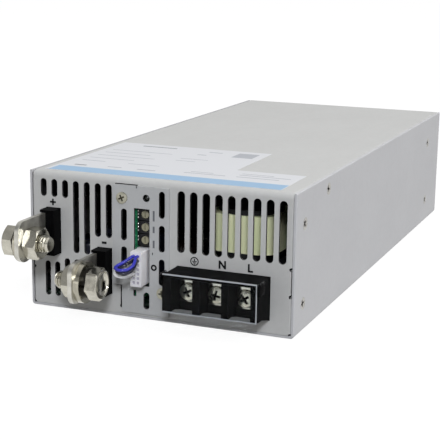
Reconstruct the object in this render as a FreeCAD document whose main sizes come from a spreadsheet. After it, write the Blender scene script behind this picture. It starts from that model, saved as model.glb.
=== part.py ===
import FreeCAD, Part
import math
import os
import Sketcher
from types import SimpleNamespace
from FreeCAD import Placement, Rotation, Vector

# Switching power supply module: a folded sheet case with its terminals at the front and two fans at the rear.
# Frame: x to the right seen from the front, y from the front to the rear, z up, origin in the middle underneath.

CASE = {
    "case_width": 127.0,
    "case_height": 63.0,
    "case_length": 280.0,
    "sheet": 1.2,
    "seam_gap": 0.15,
    "bottom_bend": 1.5,
    "wall_edge_round": 0.5,
    "cover_bend": 2.5,
    "flange_bend": 0.8,
    "front_flange": 20.0,
    "top_flange": 11.0,
    "rear_flange": 38.0,
    "rear_flange_floor": 8.0,
    "relief_radius": 0.8,
    "slit_width": 0.45,
    "slit_depth": 6.0,
    "slit_low": 18.3,
    "slit_high": 30.3,
    "mount_hole_radius": 2.2,
    "mount_spacing_x": 84.0,
    "mount_spacing_y": 200.0,
}

SIDE_SCREWS = {
    "screw_radius": 1.5,
    "screw_head_radius": 2.75,
    "screw_length": 5.0,
    "screw_gap": 0.1,
    "front_screw_inset": 12.0,
    "front_screw_low": 12.7,
    "front_screw_drop": 15.0,
    "top_screw_inset": 45.2,
    "top_screw_drop": 5.8,
    "rear_screw_inset": 30.8,
    "rear_screw_low": 13.6,
    "rear_screw_drop": 14.7,
}

FRONT_SLOTS = {
    "slot_margin": 3.4,
    "slot_width": 3.0,
    "slot_pitch": 5.45,
    "slot_first": -56.4,
    "short_slot": 8.1,
    "long_slot": 33.0,
    "middle_slot": 24.3,
    "low_slot_width": 2.75,
    "low_slot_pitch": 5.0,
    "low_slot_first": -54.8,
    "low_slot_bottom": 5.4,
    "low_slot_top": 21.6,
    "low_slot_step": 2.1,
    "grille_width": 3.5,
    "grille_pitch": 5.82,
    "grille_first": 11.16,
    "grille_slot": 27.3,
}

CONTROL = {
    "plate_thickness": 0.8,
    "plate_left": -21.4,
    "plate_right": 5.8,
    "plate_drop": 2.8,
    "plate_bottom": 2.5,
    "plate_notch_left": -17.0,
    "plate_notch_top": 14.8,
    "top_slit_left": -20.6,
    "top_slit_right": -9.6,
    "top_slit_hook": 1.1,
    "foot_slit_bottom": 4.85,
    "foot_slit_inset": 0.3,
    "foot_slit_width": 1.0,
    "backing_gap": 0.4,
    "window_left": -11.0,
    "window_right": -3.5,
    "window_bottom": 15.4,
    "window_top": 50.3,
    "left_vent_x": -15.9,
    "left_vent_width": 2.8,
    "left_vent_drop": 13.4,
    "left_vent_bottom": 18.2,
    "left_vent_gap": 2.8,
    "right_vent_x": 2.4,
    "right_vent_width": 2.8,
    "right_vent_drop": 4.3,
    "right_vent_bottom": 16.6,
    "right_vent_gap": 3.2,
    "foot_vent_x": -4.95,
    "foot_vent_width": 2.85,
    "foot_vent_bottom": 4.9,
    "foot_vent_top": 12.6,
    "key_hole_left": -11.3,
    "key_hole_right": -9.9,
    "key_hole_bottom": 10.4,
    "key_hole_top": 13.2,
    "lamp_x": -5.1,
    "lamp_drop": 7.9,
    "lamp_hole_radius": 1.65,
    "plate_screw_upper_x": -16.8,
    "plate_screw_upper_drop": 8.6,
    "plate_screw_lower_x": 2.75,
    "plate_screw_lower_z": 13.1,
    "plate_screw_head_radius": 2.6,
    "plate_screw_head_height": 1.0,
    "plate_screw_length": 5.0,
    "recess_width": 0.8,
    "recess_span": 3.0,
    "recess_depth": 0.7,
}

BOARD_PARTS = {
    "control_board_face": -10.9,
    "control_board_thickness": 1.6,
    "control_board_inset": 0.5,
    "control_board_depth": 21.0,
    "control_board_top": 57.5,
    "trimmer_right": -4.3,
    "trimmer_height": 5.4,
    "trimmer_pitch": 5.8,
    "trimmer_first_z": 47.1,
    "trimmer_inset": 2.6,
    "trimmer_depth": 6.4,
    "rotor_x": -7.1,
    "rotor_radius": 1.75,
    "rotor_gap": 0.35,
    "rotor_seat_gap": 0.05,
    "rotor_height": 1.8,
    "rotor_proud": 0.2,
    "rotor_slot_width": 0.5,
    "rotor_slot_span": 2.6,
    "rotor_slot_depth": 0.7,
    "header_right": -4.9,
    "header_inset": 1.9,
    "header_depth": 7.0,
    "header_inset_z": 0.25,
    "plug_left": -10.2,
    "plug_right": -4.8,
    "plug_reach": 6.4,
    "plug_bottom": 16.35,
    "plug_top": 32.1,
    "plug_edge": 0.4,
    "cavity_size": 1.3,
    "cavity_depth": 2.0,
    "cavity_pitch": 2.0,
    "wire_radius": 0.7,
    "lamp_radius": 1.45,
    "lamp_inset": 1.0,
    "lamp_holder_inset": 4.4,
    "lamp_holder_depth": 4.6,
    "lamp_holder_half_height": 1.75,
    "lamp_holder_half_width": 1.7,
}

OUTPUT = {
    "bar_thickness": 2.0,
    "bar_height": 18.0,
    "bar_reach": 29.5,
    "bar_round": 5.0,
    "bolt_setback": 9.5,
    "bar_foot_inset": 10.0,
    "bar_foot_width": 14.0,
    "positive_face": -52.3,
    "positive_drop": 26.8,
    "positive_back": 45.0,
    "negative_face": -26.7,
    "negative_z": 20.3,
    "negative_back": 30.0,
    "insulator_reach": 6.3,
    "insulator_left": 2.7,
    "insulator_right": 4.3,
    "insulator_roof": 1.15,
    "insulator_skirt": 1.4,
    "insulator_gap": 0.15,
    "insulator_lip": 1.5,
    "insulator_lip_depth": 2.0,
    "panel_gap": 0.2,
    "bolt_radius": 3.95,
    "bolt_tip": 0.8,
    "bolt_flats": 13.0,
    "bolt_head": 5.2,
    "bolt_dish_radius": 4.6,
    "bolt_dish_depth": 0.5,
    "positive_nut": 6.5,
    "negative_nut": 5.0,
    "positive_bolt_drop": 1.4,
    "negative_bolt_drop": 0.45,
    "hex_chamfer": 0.7,
    "bolt_hole_radius": 4.3,
    "nut_bore_gap": 0.05,
    "washer_radius": 9.0,
    "washer_thickness": 1.5,
    "spring_radius": 6.7,
    "spring_thickness": 1.8,
    "spring_split": 1.2,
    "positive_bolt_length": 15.7,
    "negative_bolt_length": 16.7,
}

INPUT_BLOCK = {
    "block_left": 9.4,
    "block_right": 52.5,
    "block_top": 26.2,
    "block_reach": 14.0,
    "block_inner": 9.0,
    "block_nose_round": 2.4,
    "block_nose_bottom": 9.8,
    "block_nose_depth": 4.0,
    "pole_pitch": 13.15,
    "pole_width": 9.8,
    "pole_depth": 9.8,
    "pole_roof": 1.5,
    "contact_width": 8.4,
    "contact_thickness": 1.0,
    "contact_bottom": 12.6,
    "clamp_size": 8.0,
    "clamp_thickness": 0.8,
    "pole_screw_z": 17.6,
    "pole_screw_radius": 1.95,
    "pole_screw_gap": 0.1,
    "pole_screw_head_radius": 3.6,
    "pole_screw_head_height": 2.4,
    "pole_screw_length": 7.0,
    "pole_recess_span": 4.6,
    "shield_gap": 0.3,
    "shield_thickness": 1.8,
    "shield_ear": 0.9,
    "shield_wrap": 4.5,
    "shield_bottom": 9.9,
    "shield_rise": 0.6,
    "shield_edge": 0.8,
    "shield_inset": 0.2,
    "shield_ear_half": 2.2,
    "pivot_setback": 2.5,
    "pivot_drop": 2.2,
    "pivot_radius": 1.0,
    "pivot_gap": 0.3,
    "pivot_length": 1.5,
}

LABEL = {
    "label_thickness": 0.15,
    "label_left": -58.6,
    "label_right": 54.8,
    "label_inner": 21.5,
    "label_front": 4.8,
    "label_step": 39.0,
    "label_back": 87.0,
}

MAIN_BOARD = {
    "standoff_height": 4.3,
    "standoff_radius": 3.0,
    "board_thickness": 1.6,
    "board_side_gap": 4.3,
    "board_end_gap": 2.0,
    "board_hole_inset_x": 6.0,
    "board_front_hole": 47.7,
    "board_rear_hole": 6.0,
    "board_right_hole_x": 30.0,
    "board_right_hole": 80.0,
    "board_left_hole_x": -14.0,
    "board_left_hole": 128.0,
    "board_screw_radius": 1.25,
    "board_screw_head_radius": 2.5,
    "board_screw_head_height": 1.8,
    "board_screw_length": 5.0,
    "board_hole_gap": 0.15,
}

INNER = {
    "choke_x": 32.9,
    "choke_inset": 14.0,
    "choke_width": 31.4,
    "choke_depth": 30.0,
    "choke_corner": 8.0,
    "choke_tape_bottom": 31.2,
    "choke_tape_top": 48.2,
    "choke_core_radius": 12.5,
    "choke_flange_radius": 14.6,
    "choke_flange": 2.2,
    "film_x": 50.5,
    "film_width": 10.0,
    "film_length": 26.0,
    "film_height": 19.0,
    "film_inset": 16.0,
    "film_pitch": 36.0,
    "film_edge": 0.8,
    "fuse_x": 10.0,
    "fuse_inset": 54.0,
    "fuse_length": 22.0,
    "fuse_radius": 2.6,
    "fuse_cap_radius": 3.2,
    "fuse_cap_length": 5.0,
    "relay_x": 15.5,
    "relay_width": 28.0,
    "relay_inset": 54.0,
    "relay_depth": 12.5,
    "relay_height": 16.0,
    "relay_edge": 0.6,
    "sink_face": 44.0,
    "sink_base": 3.0,
    "sink_fin_length": 9.0,
    "sink_fin": 1.4,
    "sink_fin_pitch": 5.2,
    "sink_height": 42.0,
    "sink_inset": 92.0,
    "sink_length": 130.0,
    "bridge_thickness": 4.6,
    "bridge_length": 30.0,
    "bridge_height": 20.0,
    "device_thickness": 5.0,
    "device_width": 16.0,
    "device_height": 21.0,
    "device_lift": 14.0,
    "device_pitch": 22.0,
    "device_start": 40.0,
    "boost_x": 18.0,
    "boost_inset": 112.0,
    "boost_ring_radius": 14.0,
    "boost_wire_radius": 7.5,
    "bulk_x": -2.0,
    "bulk_inset": 158.0,
    "bulk_pitch": 33.0,
    "bulk_radius": 15.0,
    "bulk_height": 45.0,
    "bulk_edge": 1.5,
    "core_x": -39.0,
    "core_inset": 150.0,
    "core_width": 32.0,
    "core_length": 46.0,
    "core_height": 34.0,
    "core_leg": 8.0,
    "core_yoke": 8.0,
    "core_gap": 0.3,
    "winding_overhang": 5.0,
    "winding_edge": 2.0,
    "rectifier_sink_face": -50.0,
    "rectifier_sink_height": 44.0,
    "rectifier_sink_inset": 58.0,
    "rectifier_sink_length": 52.0,
    "rectifier_sink_base": 2.0,
    "rectifier_sink_fin": 5.0,
    "ring_x": -28.0,
    "ring_inset": 80.0,
    "ring_radius": 12.0,
    "ring_wire_radius": 6.5,
    "can_radius": 5.2,
    "can_height": 22.0,
    "can_edge": 0.8,
    "can_pitch": 13.0,
    "can_inset": 14.0,
    "can_column_left": -40.5,
    "can_column_right": -19.6,
}

FANS = {
    "fan_gap": 0.3,
    "fan_depth": 25.0,
    "fan_wall": 1.5,
    "fan_screw_inset": 5.0,
    "fan_flange": 4.0,
    "fan_waist": 2.0,
    "motor_radius": 13.0,
    "motor_depth": 3.0,
    "strut_width": 3.0,
    "hub_radius": 13.0,
    "hub_depth": 19.0,
    "hub_edge": 1.0,
    "hub_gap": 0.5,
    "spindle_radius": 1.2,
    "spindle_gap": 0.4,
    "spindle_length": 2.0,
    "blade_tip_gap": 1.0,
    "blade_chord": 14.0,
    "blade_sweep": 10.0,
    "blade_thickness": 1.6,
    "blade_root": 3.0,
    "outlet_inner": 8.0,
    "outlet_bar": 2.6,
    "outlet_spoke": 3.0,
    "fan_screw_radius": 1.9,
    "fan_screw_gap": 0.1,
    "fan_screw_head_radius": 3.4,
    "fan_screw_head_height": 2.0,
    "fan_screw_length": 9.0,
}

# Counts of what repeats.
SHORT_SLOTS = 3
LONG_SLOTS = 2
MIDDLE_SLOTS = 2
LOW_SLOTS = 2
GRILLE_SLOTS = 9
TRIMMERS = 3
PLUG_ROWS = 7
POLES = 3
SINK_FINS = 8
RECTIFIER_FINS = 6
BRIDGE_DEVICES = 4
RECTIFIERS = 3
CANS = 3
BULK_CANS = 3
BLADES = 7
OUTLET_RINGS = 3

# How far each tightened hexagon stands turned from flats to the front, in degrees.
NUT_TURN = 32
HEAD_TURN = {"positive": 15, "negative": 42}

# Jumper wire routes: the plug's row, then steps in x, y, z from the top cavity of the right-hand column.
# Each wire leaves the right-hand column, droops in a loop to the left and goes back into the left-hand column.
JUMPERS = {
    "jumper_wire_1": (0, [(0.0, -2.4, 0.0), (0.8, -4.8, -1.5), (0.9, -7.3, -2.8), (-0.2, -9.6, -3.6),
                          (-2.0, -11.3, -3.85), (-4.45, -11.35, -3.8), (-6.25, -9.7, -3.5), (-6.35, -7.25, -3.05),
                          (-4.75, -5.3, -2.2), (-2.9, -3.9, -0.8), (-2.0, -2.0, 0.0)]),
    "jumper_wire_2": (1, [(0.0, -2.2, -2.0), (0.7, -4.5, -3.3), (0.7, -6.9, -4.5), (-0.3, -8.9, -5.15),
                          (-2.1, -10.4, -5.35), (-4.45, -10.3, -5.3), (-6.1, -8.6, -5.0), (-6.1, -6.2, -4.5),
                          (-4.5, -4.4, -3.7), (-2.9, -3.5, -2.6), (-2.0, -1.9, -2.0)]),
}


class Size:
    """A length that carries its formula over the sheet's cells beside its number."""

    def __init__(self, text, value):
        self.text = text
        self.value = float(value)

    def __add__(self, other):
        other = sized(other)
        return Size(f"({self.text} + {other.text})", self.value + other.value)

    def __sub__(self, other):
        other = sized(other)
        return Size(f"({self.text} - {other.text})", self.value - other.value)

    def __mul__(self, other):
        other = sized(other)
        return Size(f"({self.text} * {other.text})", self.value * other.value)

    def __truediv__(self, other):
        other = sized(other)
        return Size(f"({self.text} / {other.text})", self.value / other.value)

    def __neg__(self):
        return Size(f"(0 - {self.text})", -self.value)

    def __radd__(self, other):
        return sized(other) + self

    def __rsub__(self, other):
        return sized(other) - self

    def __rmul__(self, other):
        return sized(other) * self


def sized(number):
    return number if isinstance(number, Size) else Size(f"({number})", number)


def smaller(first, second):
    return Size(f"min({first.text}; {second.text})", min(first.value, second.value))


doc = FreeCAD.newDocument("power_supply")
sheet = doc.addObject("Spreadsheet::Sheet", "Sizes")
size = SimpleNamespace()
row_number = 1
for table in (CASE, SIDE_SCREWS, FRONT_SLOTS, CONTROL, BOARD_PARTS, OUTPUT, INPUT_BLOCK, LABEL, MAIN_BOARD, INNER, FANS):
    for name, value in table.items():
        sheet.set(f"A{row_number}", name)
        sheet.set(f"B{row_number}", str(value))
        sheet.setAlias(f"B{row_number}", name)
        setattr(size, name, Size(f"Sizes.{name}", value))
        row_number += 1
doc.recompute()

# Planes that the pieces share.
half = size.case_width / 2
wall = half - size.sheet
cover_side = wall - size.seam_gap
front = -size.case_length / 2
rear = size.case_length / 2
top = size.case_height
ceiling = top - size.sheet
inner_front = front + size.sheet
inner_rear = rear - size.sheet
board_bottom = size.sheet + size.standoff_height
board_top = board_bottom + size.board_thickness
plate_face = front - size.plate_thickness
beyond = 5.0

TURNS = {"x": Rotation(Vector(0, 1, 0), 90), "y": Rotation(Vector(1, 0, 0), -90), "z": Rotation()}
nodes = []


def bind(item, place, value):
    item.setExpression(place, sized(value).text)


def spread(axis, along, center):
    places = list(center)
    places.insert("xyz".index(axis), along)
    return dict(zip("xyz", places))


def box(name, x, y, z):
    item = doc.addObject("Part::Box", name)
    for side, axis, (low, high) in zip(("Length", "Width", "Height"), "xyz", (x, y, z)):
        bind(item, side, sized(high) - low)
        bind(item, f"Placement.Base.{axis}", low)
    return item


def turned(kind, name, axis, along, center, turn=0):
    item = doc.addObject(kind, name)
    item.Placement = Placement(Vector(), TURNS[axis].multiply(Rotation(Vector(0, 0, 1), turn)))
    for letter, place in spread(axis, along[0], center).items():
        bind(item, f"Placement.Base.{letter}", place)
    bind(item, "Height", sized(along[1]) - along[0])
    return item


def rod(name, axis, radius, along, center):
    item = turned("Part::Cylinder", name, axis, along, center)
    bind(item, "Radius", radius)
    return item


def cone(name, axis, radii, along, center):
    item = turned("Part::Cone", name, axis, along, center)
    bind(item, "Radius1", radii[0])
    bind(item, "Radius2", radii[1])
    return item


def hexagon(name, axis, flats, along, center, turn=0):
    item = turned("Part::Prism", name, axis, along, center, turn)
    item.Polygon = 6
    bind(item, "Circumradius", flats / math.sqrt(3))
    return item


def fuse(name, *items):
    item = doc.addObject("Part::MultiFuse", name)
    item.Shapes = list(items)
    return item


def group(name, items):
    item = doc.addObject("Part::Compound", name)
    item.Links = list(items)
    return item


def cut(name, base, *tools):
    item = doc.addObject("Part::Cut", name)
    item.Base = base
    item.Tool = tools[0] if len(tools) == 1 else fuse(f"{name}_tools", *tools)
    return item


def common(name, *items):
    item = doc.addObject("Part::MultiCommon", name)
    item.Shapes = list(items)
    return item


def node(item):
    nodes.append(item)
    return item


def new_body(name):
    return doc.addObject("PartDesign::Body", name)


def sketch(body, role, name, height=0.0):
    plane = next(item for item in body.Origin.OriginFeatures if item.Role == role)
    drawing = body.newObject("Sketcher::SketchObject", name)
    drawing.AttachmentSupport = [(plane, "")]
    drawing.MapMode = "FlatFace"
    bind(drawing, "AttachmentOffset.Base.z", height)
    return drawing


def pin(drawing, curve, point, x, y):
    for kind, place in (("DistanceX", sized(x)), ("DistanceY", sized(y))):
        number = drawing.addConstraint(Sketcher.Constraint(kind, -1, 1, curve, point, place.value))
        drawing.setExpression(f"Constraints[{number}]", place.text)


def outline(drawing, points):
    first = drawing.GeometryCount
    spots = [Vector(sized(x).value, sized(y).value, 0) for x, y in points]
    count = len(points)
    for index in range(count):
        drawing.addGeometry(Part.LineSegment(spots[index], spots[(index + 1) % count]))
    for index in range(count):
        after = first + (index + 1) % count
        drawing.addConstraint(Sketcher.Constraint("Coincident", first + index, 2, after, 1))
    for index, (x, y) in enumerate(points):
        pin(drawing, first + index, 1, x, y)


def rectangle(drawing, x, y):
    outline(drawing, [(x[0], y[0]), (x[1], y[0]), (x[1], y[1]), (x[0], y[1])])


def circle(drawing, x, y, radius):
    spot = Vector(sized(x).value, sized(y).value, 0)
    curve = drawing.addGeometry(Part.Circle(spot, Vector(0, 0, 1), sized(radius).value))
    pin(drawing, curve, 3, x, y)
    number = drawing.addConstraint(Sketcher.Constraint("Radius", curve, sized(radius).value))
    drawing.setExpression(f"Constraints[{number}]", sized(radius).text)


def slot(drawing, x, low, high, width):
    radius = sized(width) / 2
    ends = ((sized(high) - radius, 0.0), (sized(low) + radius, math.pi))
    arcs = []
    for center, start in ends:
        ring = Part.Circle(Vector(sized(x).value, center.value, 0), Vector(0, 0, 1), radius.value)
        arcs.append(drawing.addGeometry(Part.ArcOfCircle(ring, start, start + math.pi)))
    upper, lower = ends[0][0].value, ends[1][0].value
    left = sized(x).value - radius.value
    right = sized(x).value + radius.value
    left_line = drawing.addGeometry(Part.LineSegment(Vector(left, upper, 0), Vector(left, lower, 0)))
    right_line = drawing.addGeometry(Part.LineSegment(Vector(right, lower, 0), Vector(right, upper, 0)))
    joins = ((arcs[0], 2, left_line, 1), (left_line, 2, arcs[1], 1), (arcs[1], 2, right_line, 1),
             (right_line, 2, arcs[0], 1))
    for join in joins:
        drawing.addConstraint(Sketcher.Constraint("Tangent", *join))
    pin(drawing, arcs[0], 3, x, ends[0][0])
    pin(drawing, arcs[1], 3, x, ends[1][0])
    number = drawing.addConstraint(Sketcher.Constraint("Radius", arcs[0], radius.value))
    drawing.setExpression(f"Constraints[{number}]", radius.text)


def swept(kind, body, drawing, name, length, side="One side", backward=False):
    feature = body.newObject(f"PartDesign::{kind}", name)
    feature.Profile = drawing
    feature.SideType = side
    feature.Reversed = backward
    bind(feature, "Length", length)
    return feature


def pattern_row(body, feature, name, role, pitch, count):
    axis = next(item for item in body.Origin.OriginFeatures if item.Role == role)
    row = body.newObject("PartDesign::LinearPattern", name)
    row.Originals = [feature]
    row.Direction = (axis, [""])
    row.Mode = "Spacing"
    row.Occurrences = count
    bind(row, "Offset", pitch)
    body.Tip = row
    return row


def rounded(body, feature, name, radius, wanted):
    doc.recompute()
    edges = [f"Edge{number}" for number, edge in enumerate(feature.Shape.Edges, 1) if wanted(edge)]
    finish = body.newObject("PartDesign::Fillet", name)
    finish.Base = (feature, edges)
    bind(finish, "Radius", radius)
    body.Tip = finish
    return finish


def runs(edge, axis, **places):
    # True for a straight edge along one axis whose other coordinates have the sizes given.
    ends = [vertex.Point for vertex in edge.Vertexes]
    if len(ends) != 2 or abs(abs((ends[1] - ends[0])["xyz".index(axis)]) - edge.Length) > 1e-4:
        return False
    for letter, options in places.items():
        middle = (ends[0] + ends[1])["xyz".index(letter)] / 2
        if all(abs(middle - sized(option).value) > 1e-4 for option in options):
            return False
    return True


def brick(name, x, y, z, edge):
    # A moulded or potted box with rounded upright and top edges.
    body = new_body(name)
    base = sketch(body, "XY_Plane", f"{name}_base", z[0])
    rectangle(base, x, y)
    block = swept("Pad", body, base, f"{name}_block", sized(z[1]) - z[0])

    def soft(line):
        return runs(line, "z") or runs(line, "x", z=[z[1]]) or runs(line, "y", z=[z[1]])

    rounded(body, block, f"{name}_edges", edge, soft)
    return body


def can(name, x, y, z, radius, edge):
    # A capacitor can with rolled ends.
    body = new_body(name)
    base = sketch(body, "XY_Plane", f"{name}_base", z[0])
    circle(base, x, y, radius)
    barrel = swept("Pad", body, base, f"{name}_barrel", sized(z[1]) - z[0])
    rounded(body, barrel, f"{name}_edges", edge, lambda line: len(line.Vertexes) == 1)
    return body


# The positions of the side screws: distance along the case and height.
side_screws = [
    (front + size.front_screw_inset, size.front_screw_low),
    (front + size.front_screw_inset, top - size.front_screw_drop),
    (front + size.top_screw_inset, top - size.top_screw_drop),
    (rear - size.rear_screw_inset, size.rear_screw_low),
    (rear - size.rear_screw_inset, top - size.rear_screw_drop),
]
mount_holes = [(sx * size.mount_spacing_x / 2, sy * size.mount_spacing_y / 2) for sx in (-1, 1) for sy in (-1, 1)]


def screw_bores(name):
    # One through tool for each pair of side screws, for the flanges inside the walls.
    radius = size.screw_radius + size.screw_gap
    return [rod(f"{name}_bore_{index}", "x", radius, (-half, half), spot) for index, spot in enumerate(side_screws)]


def make_chassis():
    body = new_body("chassis_sheet")
    section = sketch(body, "XZ_Plane", "chassis_section")
    outline(section, [(-half, top), (-half, 0), (half, 0), (half, top),
                      (wall, top), (wall, size.sheet), (-wall, size.sheet), (-wall, top)])
    folded = swept("Pad", body, section, "chassis_fold", size.case_length, "Symmetric")
    outer = rounded(body, folded, "chassis_outer_bend", size.bottom_bend,
                    lambda line: runs(line, "y", x=[-half, half], z=[0]))
    inner = rounded(body, outer, "chassis_inner_bend", size.bottom_bend - size.sheet,
                    lambda line: runs(line, "y", x=[-wall, wall], z=[size.sheet]))
    rounded(body, inner, "chassis_wall_edges", size.wall_edge_round,
            lambda line: runs(line, "z", x=[-half, half], y=[front]) or runs(line, "y", x=[-half, half], z=[top]))
    tools = []
    for index, spot in enumerate(side_screws):
        radii = (size.screw_radius + size.screw_gap, size.screw_head_radius + size.screw_gap)
        tools.append(cone(f"chassis_sink_right_{index}", "x", radii, (wall, half), spot))
        tools.append(cone(f"chassis_sink_left_{index}", "x", radii[::-1], (-half, -wall), spot))
    for index, spot in enumerate(mount_holes):
        tools.append(rod(f"chassis_mount_{index}", "z", size.mount_hole_radius, (-beyond, beyond), spot))
    node(cut("chassis", body, *tools))


def control_vents(grow):
    # Upright slots of the control plate as x, low, high and width.
    vents = [(size.foot_vent_x, size.foot_vent_bottom, size.foot_vent_top, size.foot_vent_width)]
    columns = ((2, size.left_vent_x, size.left_vent_bottom, size.left_vent_drop, size.left_vent_gap,
                size.left_vent_width),
               (3, size.right_vent_x, size.right_vent_bottom, size.right_vent_drop, size.right_vent_gap,
                size.right_vent_width))
    for count, x, bottom, drop, gap, width in columns:
        length = (top - drop - bottom - gap * (count - 1)) / count
        for index in range(count):
            low = bottom + (length + gap) * index
            vents.append((x, low, low + length, width))
    return [(x, low - grow, high + grow, width + grow * 2) for x, low, high, width in vents]


def control_cutouts(body, plane_y, depth, name, grow):
    # The window, key hole, lamp hole and slots, cut through the control plate and, a little larger, behind it.
    holes = sketch(body, "XZ_Plane", f"{name}_openings", -plane_y)
    rectangle(holes, (size.window_left - grow, size.window_right + grow),
              (size.window_bottom - grow, size.window_top + grow))
    rectangle(holes, (size.key_hole_left - grow, size.key_hole_right + grow),
              (size.key_hole_bottom - grow, size.key_hole_top + grow))
    circle(holes, size.lamp_x, top - size.lamp_drop, size.lamp_hole_radius + grow)
    for x, z in plate_screws:
        circle(holes, x, z, size.screw_radius + size.screw_gap)
    swept("Pocket", body, holes, f"{name}_window", depth)
    vents = sketch(body, "XZ_Plane", f"{name}_slots", -plane_y)
    for vent in control_vents(grow):
        slot(vents, *vent)
    return swept("Pocket", body, vents, f"{name}_vents", depth)


def slot_row(body, name, x, low, high, width, pitch, count):
    drawing = sketch(body, "XZ_Plane", f"{name}_slot", -front)
    slot(drawing, x, low, high, width)
    first = swept("Pocket", body, drawing, f"{name}_first", size.sheet * 2)
    return pattern_row(body, first, f"{name}_row", "X_Axis", pitch, count)


def hook_slit(name, through):
    # The narrow slit above the control plate, with its short hook down at the right-hand end.
    low = top - size.plate_drop
    high = low + size.slit_width
    flat = box(f"{name}_slit_flat", (size.top_slit_left, size.top_slit_right), through, (low, high))
    hook = box(f"{name}_slit_hook", (size.top_slit_right - size.slit_width, size.top_slit_right), through,
               (high - size.top_slit_hook - size.slit_width, high))
    return [flat, hook]


plate_screws = [(size.plate_screw_upper_x, top - size.plate_screw_upper_drop),
                (size.plate_screw_lower_x, size.plate_screw_lower_z)]
terminals = {
    "positive": SimpleNamespace(face=size.positive_face, z=top - size.positive_drop, back=size.positive_back,
                                bolt_z=top - size.positive_drop - size.positive_bolt_drop,
                                bolt=size.positive_bolt_length, nut=size.positive_nut, head=-1, washers=1),
    "negative": SimpleNamespace(face=size.negative_face, z=size.negative_z, back=size.negative_back,
                                bolt_z=size.negative_z - size.negative_bolt_drop,
                                bolt=size.negative_bolt_length, nut=size.negative_nut, head=1, washers=2),
}


def insulator_span(terminal, grow):
    # Outer limits of a terminal's insulator in x and in z.
    bar_low = terminal.z - size.bar_height / 2
    bar_high = terminal.z + size.bar_height / 2
    x = (terminal.face - size.insulator_left - grow, terminal.face + size.insulator_right + grow)
    z = (bar_low - size.insulator_skirt - grow,
         bar_high + size.insulator_gap + size.insulator_roof + grow)
    return x, z


def make_front_top_cover():
    body = new_body("cover_sheet")
    floor_line = size.sheet + size.seam_gap
    block = sketch(body, "XZ_Plane", "cover_outline")
    rectangle(block, (-cover_side, cover_side), (floor_line, top))
    envelope = swept("Pad", body, block, "cover_envelope", size.case_length, "Symmetric")
    nose = rounded(body, envelope, "cover_nose", size.cover_bend, lambda line: runs(line, "x", y=[front], z=[top]))

    def flange_line(line):
        return runs(line, "z", x=[-cover_side, cover_side], y=[front]) or \
            runs(line, "y", x=[-cover_side, cover_side], z=[top])

    rounded(body, nose, "cover_flange_bends", size.flange_bend, flange_line)
    inside = sketch(body, "XZ_Plane", "cover_inside", -inner_front)
    inner_side = cover_side - size.sheet
    rectangle(inside, (-inner_side, inner_side), (-beyond, ceiling))
    swept("Pocket", body, inside, "cover_hollow", size.case_length)
    trim = sketch(body, "YZ_Plane", "cover_flange_outline")
    flange_end = inner_rear - size.seam_gap
    flange_low = top - size.top_flange
    outline(trim, [(front + size.front_flange, -beyond), (rear + beyond, -beyond), (rear + beyond, ceiling),
                   (flange_end, ceiling), (flange_end, flange_low), (front + size.front_flange, flange_low)])
    swept("Pocket", body, trim, "cover_flanges", size.case_width, "Symmetric")
    slot_high = top - size.slot_margin
    x = size.slot_first
    for name, length, count in (("short", size.short_slot, SHORT_SLOTS), ("long", size.long_slot, LONG_SLOTS),
                                ("middle", size.middle_slot, MIDDLE_SLOTS)):
        slot_row(body, f"cover_{name}", x, slot_high - length, slot_high, size.slot_width, size.slot_pitch, count)
        x = x + size.slot_pitch * count
    x = size.low_slot_first
    for name, high in (("low", size.low_slot_top), ("low_tall", size.low_slot_top + size.low_slot_step)):
        slot_row(body, f"cover_{name}", x, size.low_slot_bottom, high, size.low_slot_width, size.low_slot_pitch,
                 LOW_SLOTS)
        x = x + size.low_slot_pitch * LOW_SLOTS
    slot_row(body, "cover_grille", size.grille_first, slot_high - size.grille_slot, slot_high, size.grille_width,
             size.grille_pitch, GRILLE_SLOTS)
    openings = sketch(body, "XZ_Plane", "cover_terminal_openings", -front)
    for terminal in terminals.values():
        rectangle(openings, *insulator_span(terminal, size.panel_gap))
    rectangle(openings, (size.block_left - size.panel_gap, size.block_right + size.panel_gap),
              (board_top - size.panel_gap, size.block_top + size.panel_gap))
    swept("Pocket", body, openings, "cover_terminal_cuts", size.sheet * 2)
    body.Tip = control_cutouts(body, front, size.sheet * 2, "cover", size.backing_gap)
    tools = screw_bores("cover")
    through = (front - beyond, inner_front + size.seam_gap)
    slit_run = (front - beyond, front + size.slit_depth)
    for side in (-1, 1):
        edge = cover_side * side
        inner = edge - size.slit_width * side
        outer = edge + beyond * side
        x = (inner, outer) if side > 0 else (outer, inner)
        tools.append(box(f"cover_slit_{side + 1}", x, slit_run, (size.slit_low, size.slit_high)))
        for index, z in enumerate((size.slit_low, size.slit_high, floor_line)):
            tools.append(rod(f"cover_relief_{side + 1}_{index}", "y", size.relief_radius, slit_run, (inner, z)))
    tools += hook_slit("cover", through)
    foot = size.plate_notch_left - size.foot_slit_width
    tools.append(box("cover_foot_slit_flat", (size.plate_left + size.foot_slit_inset, size.plate_notch_left), through,
                     (size.plate_notch_top - size.slit_width, size.plate_notch_top)))
    tools.append(box("cover_foot_slit_up", (foot, size.plate_notch_left), through,
                     (size.foot_slit_bottom, size.plate_notch_top)))
    tools.append(rod("cover_foot_relief", "y", size.relief_radius, through,
                     (foot + size.foot_slit_width / 2, size.foot_slit_bottom)))
    node(cut("front_top_cover", body, *tools))


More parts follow.
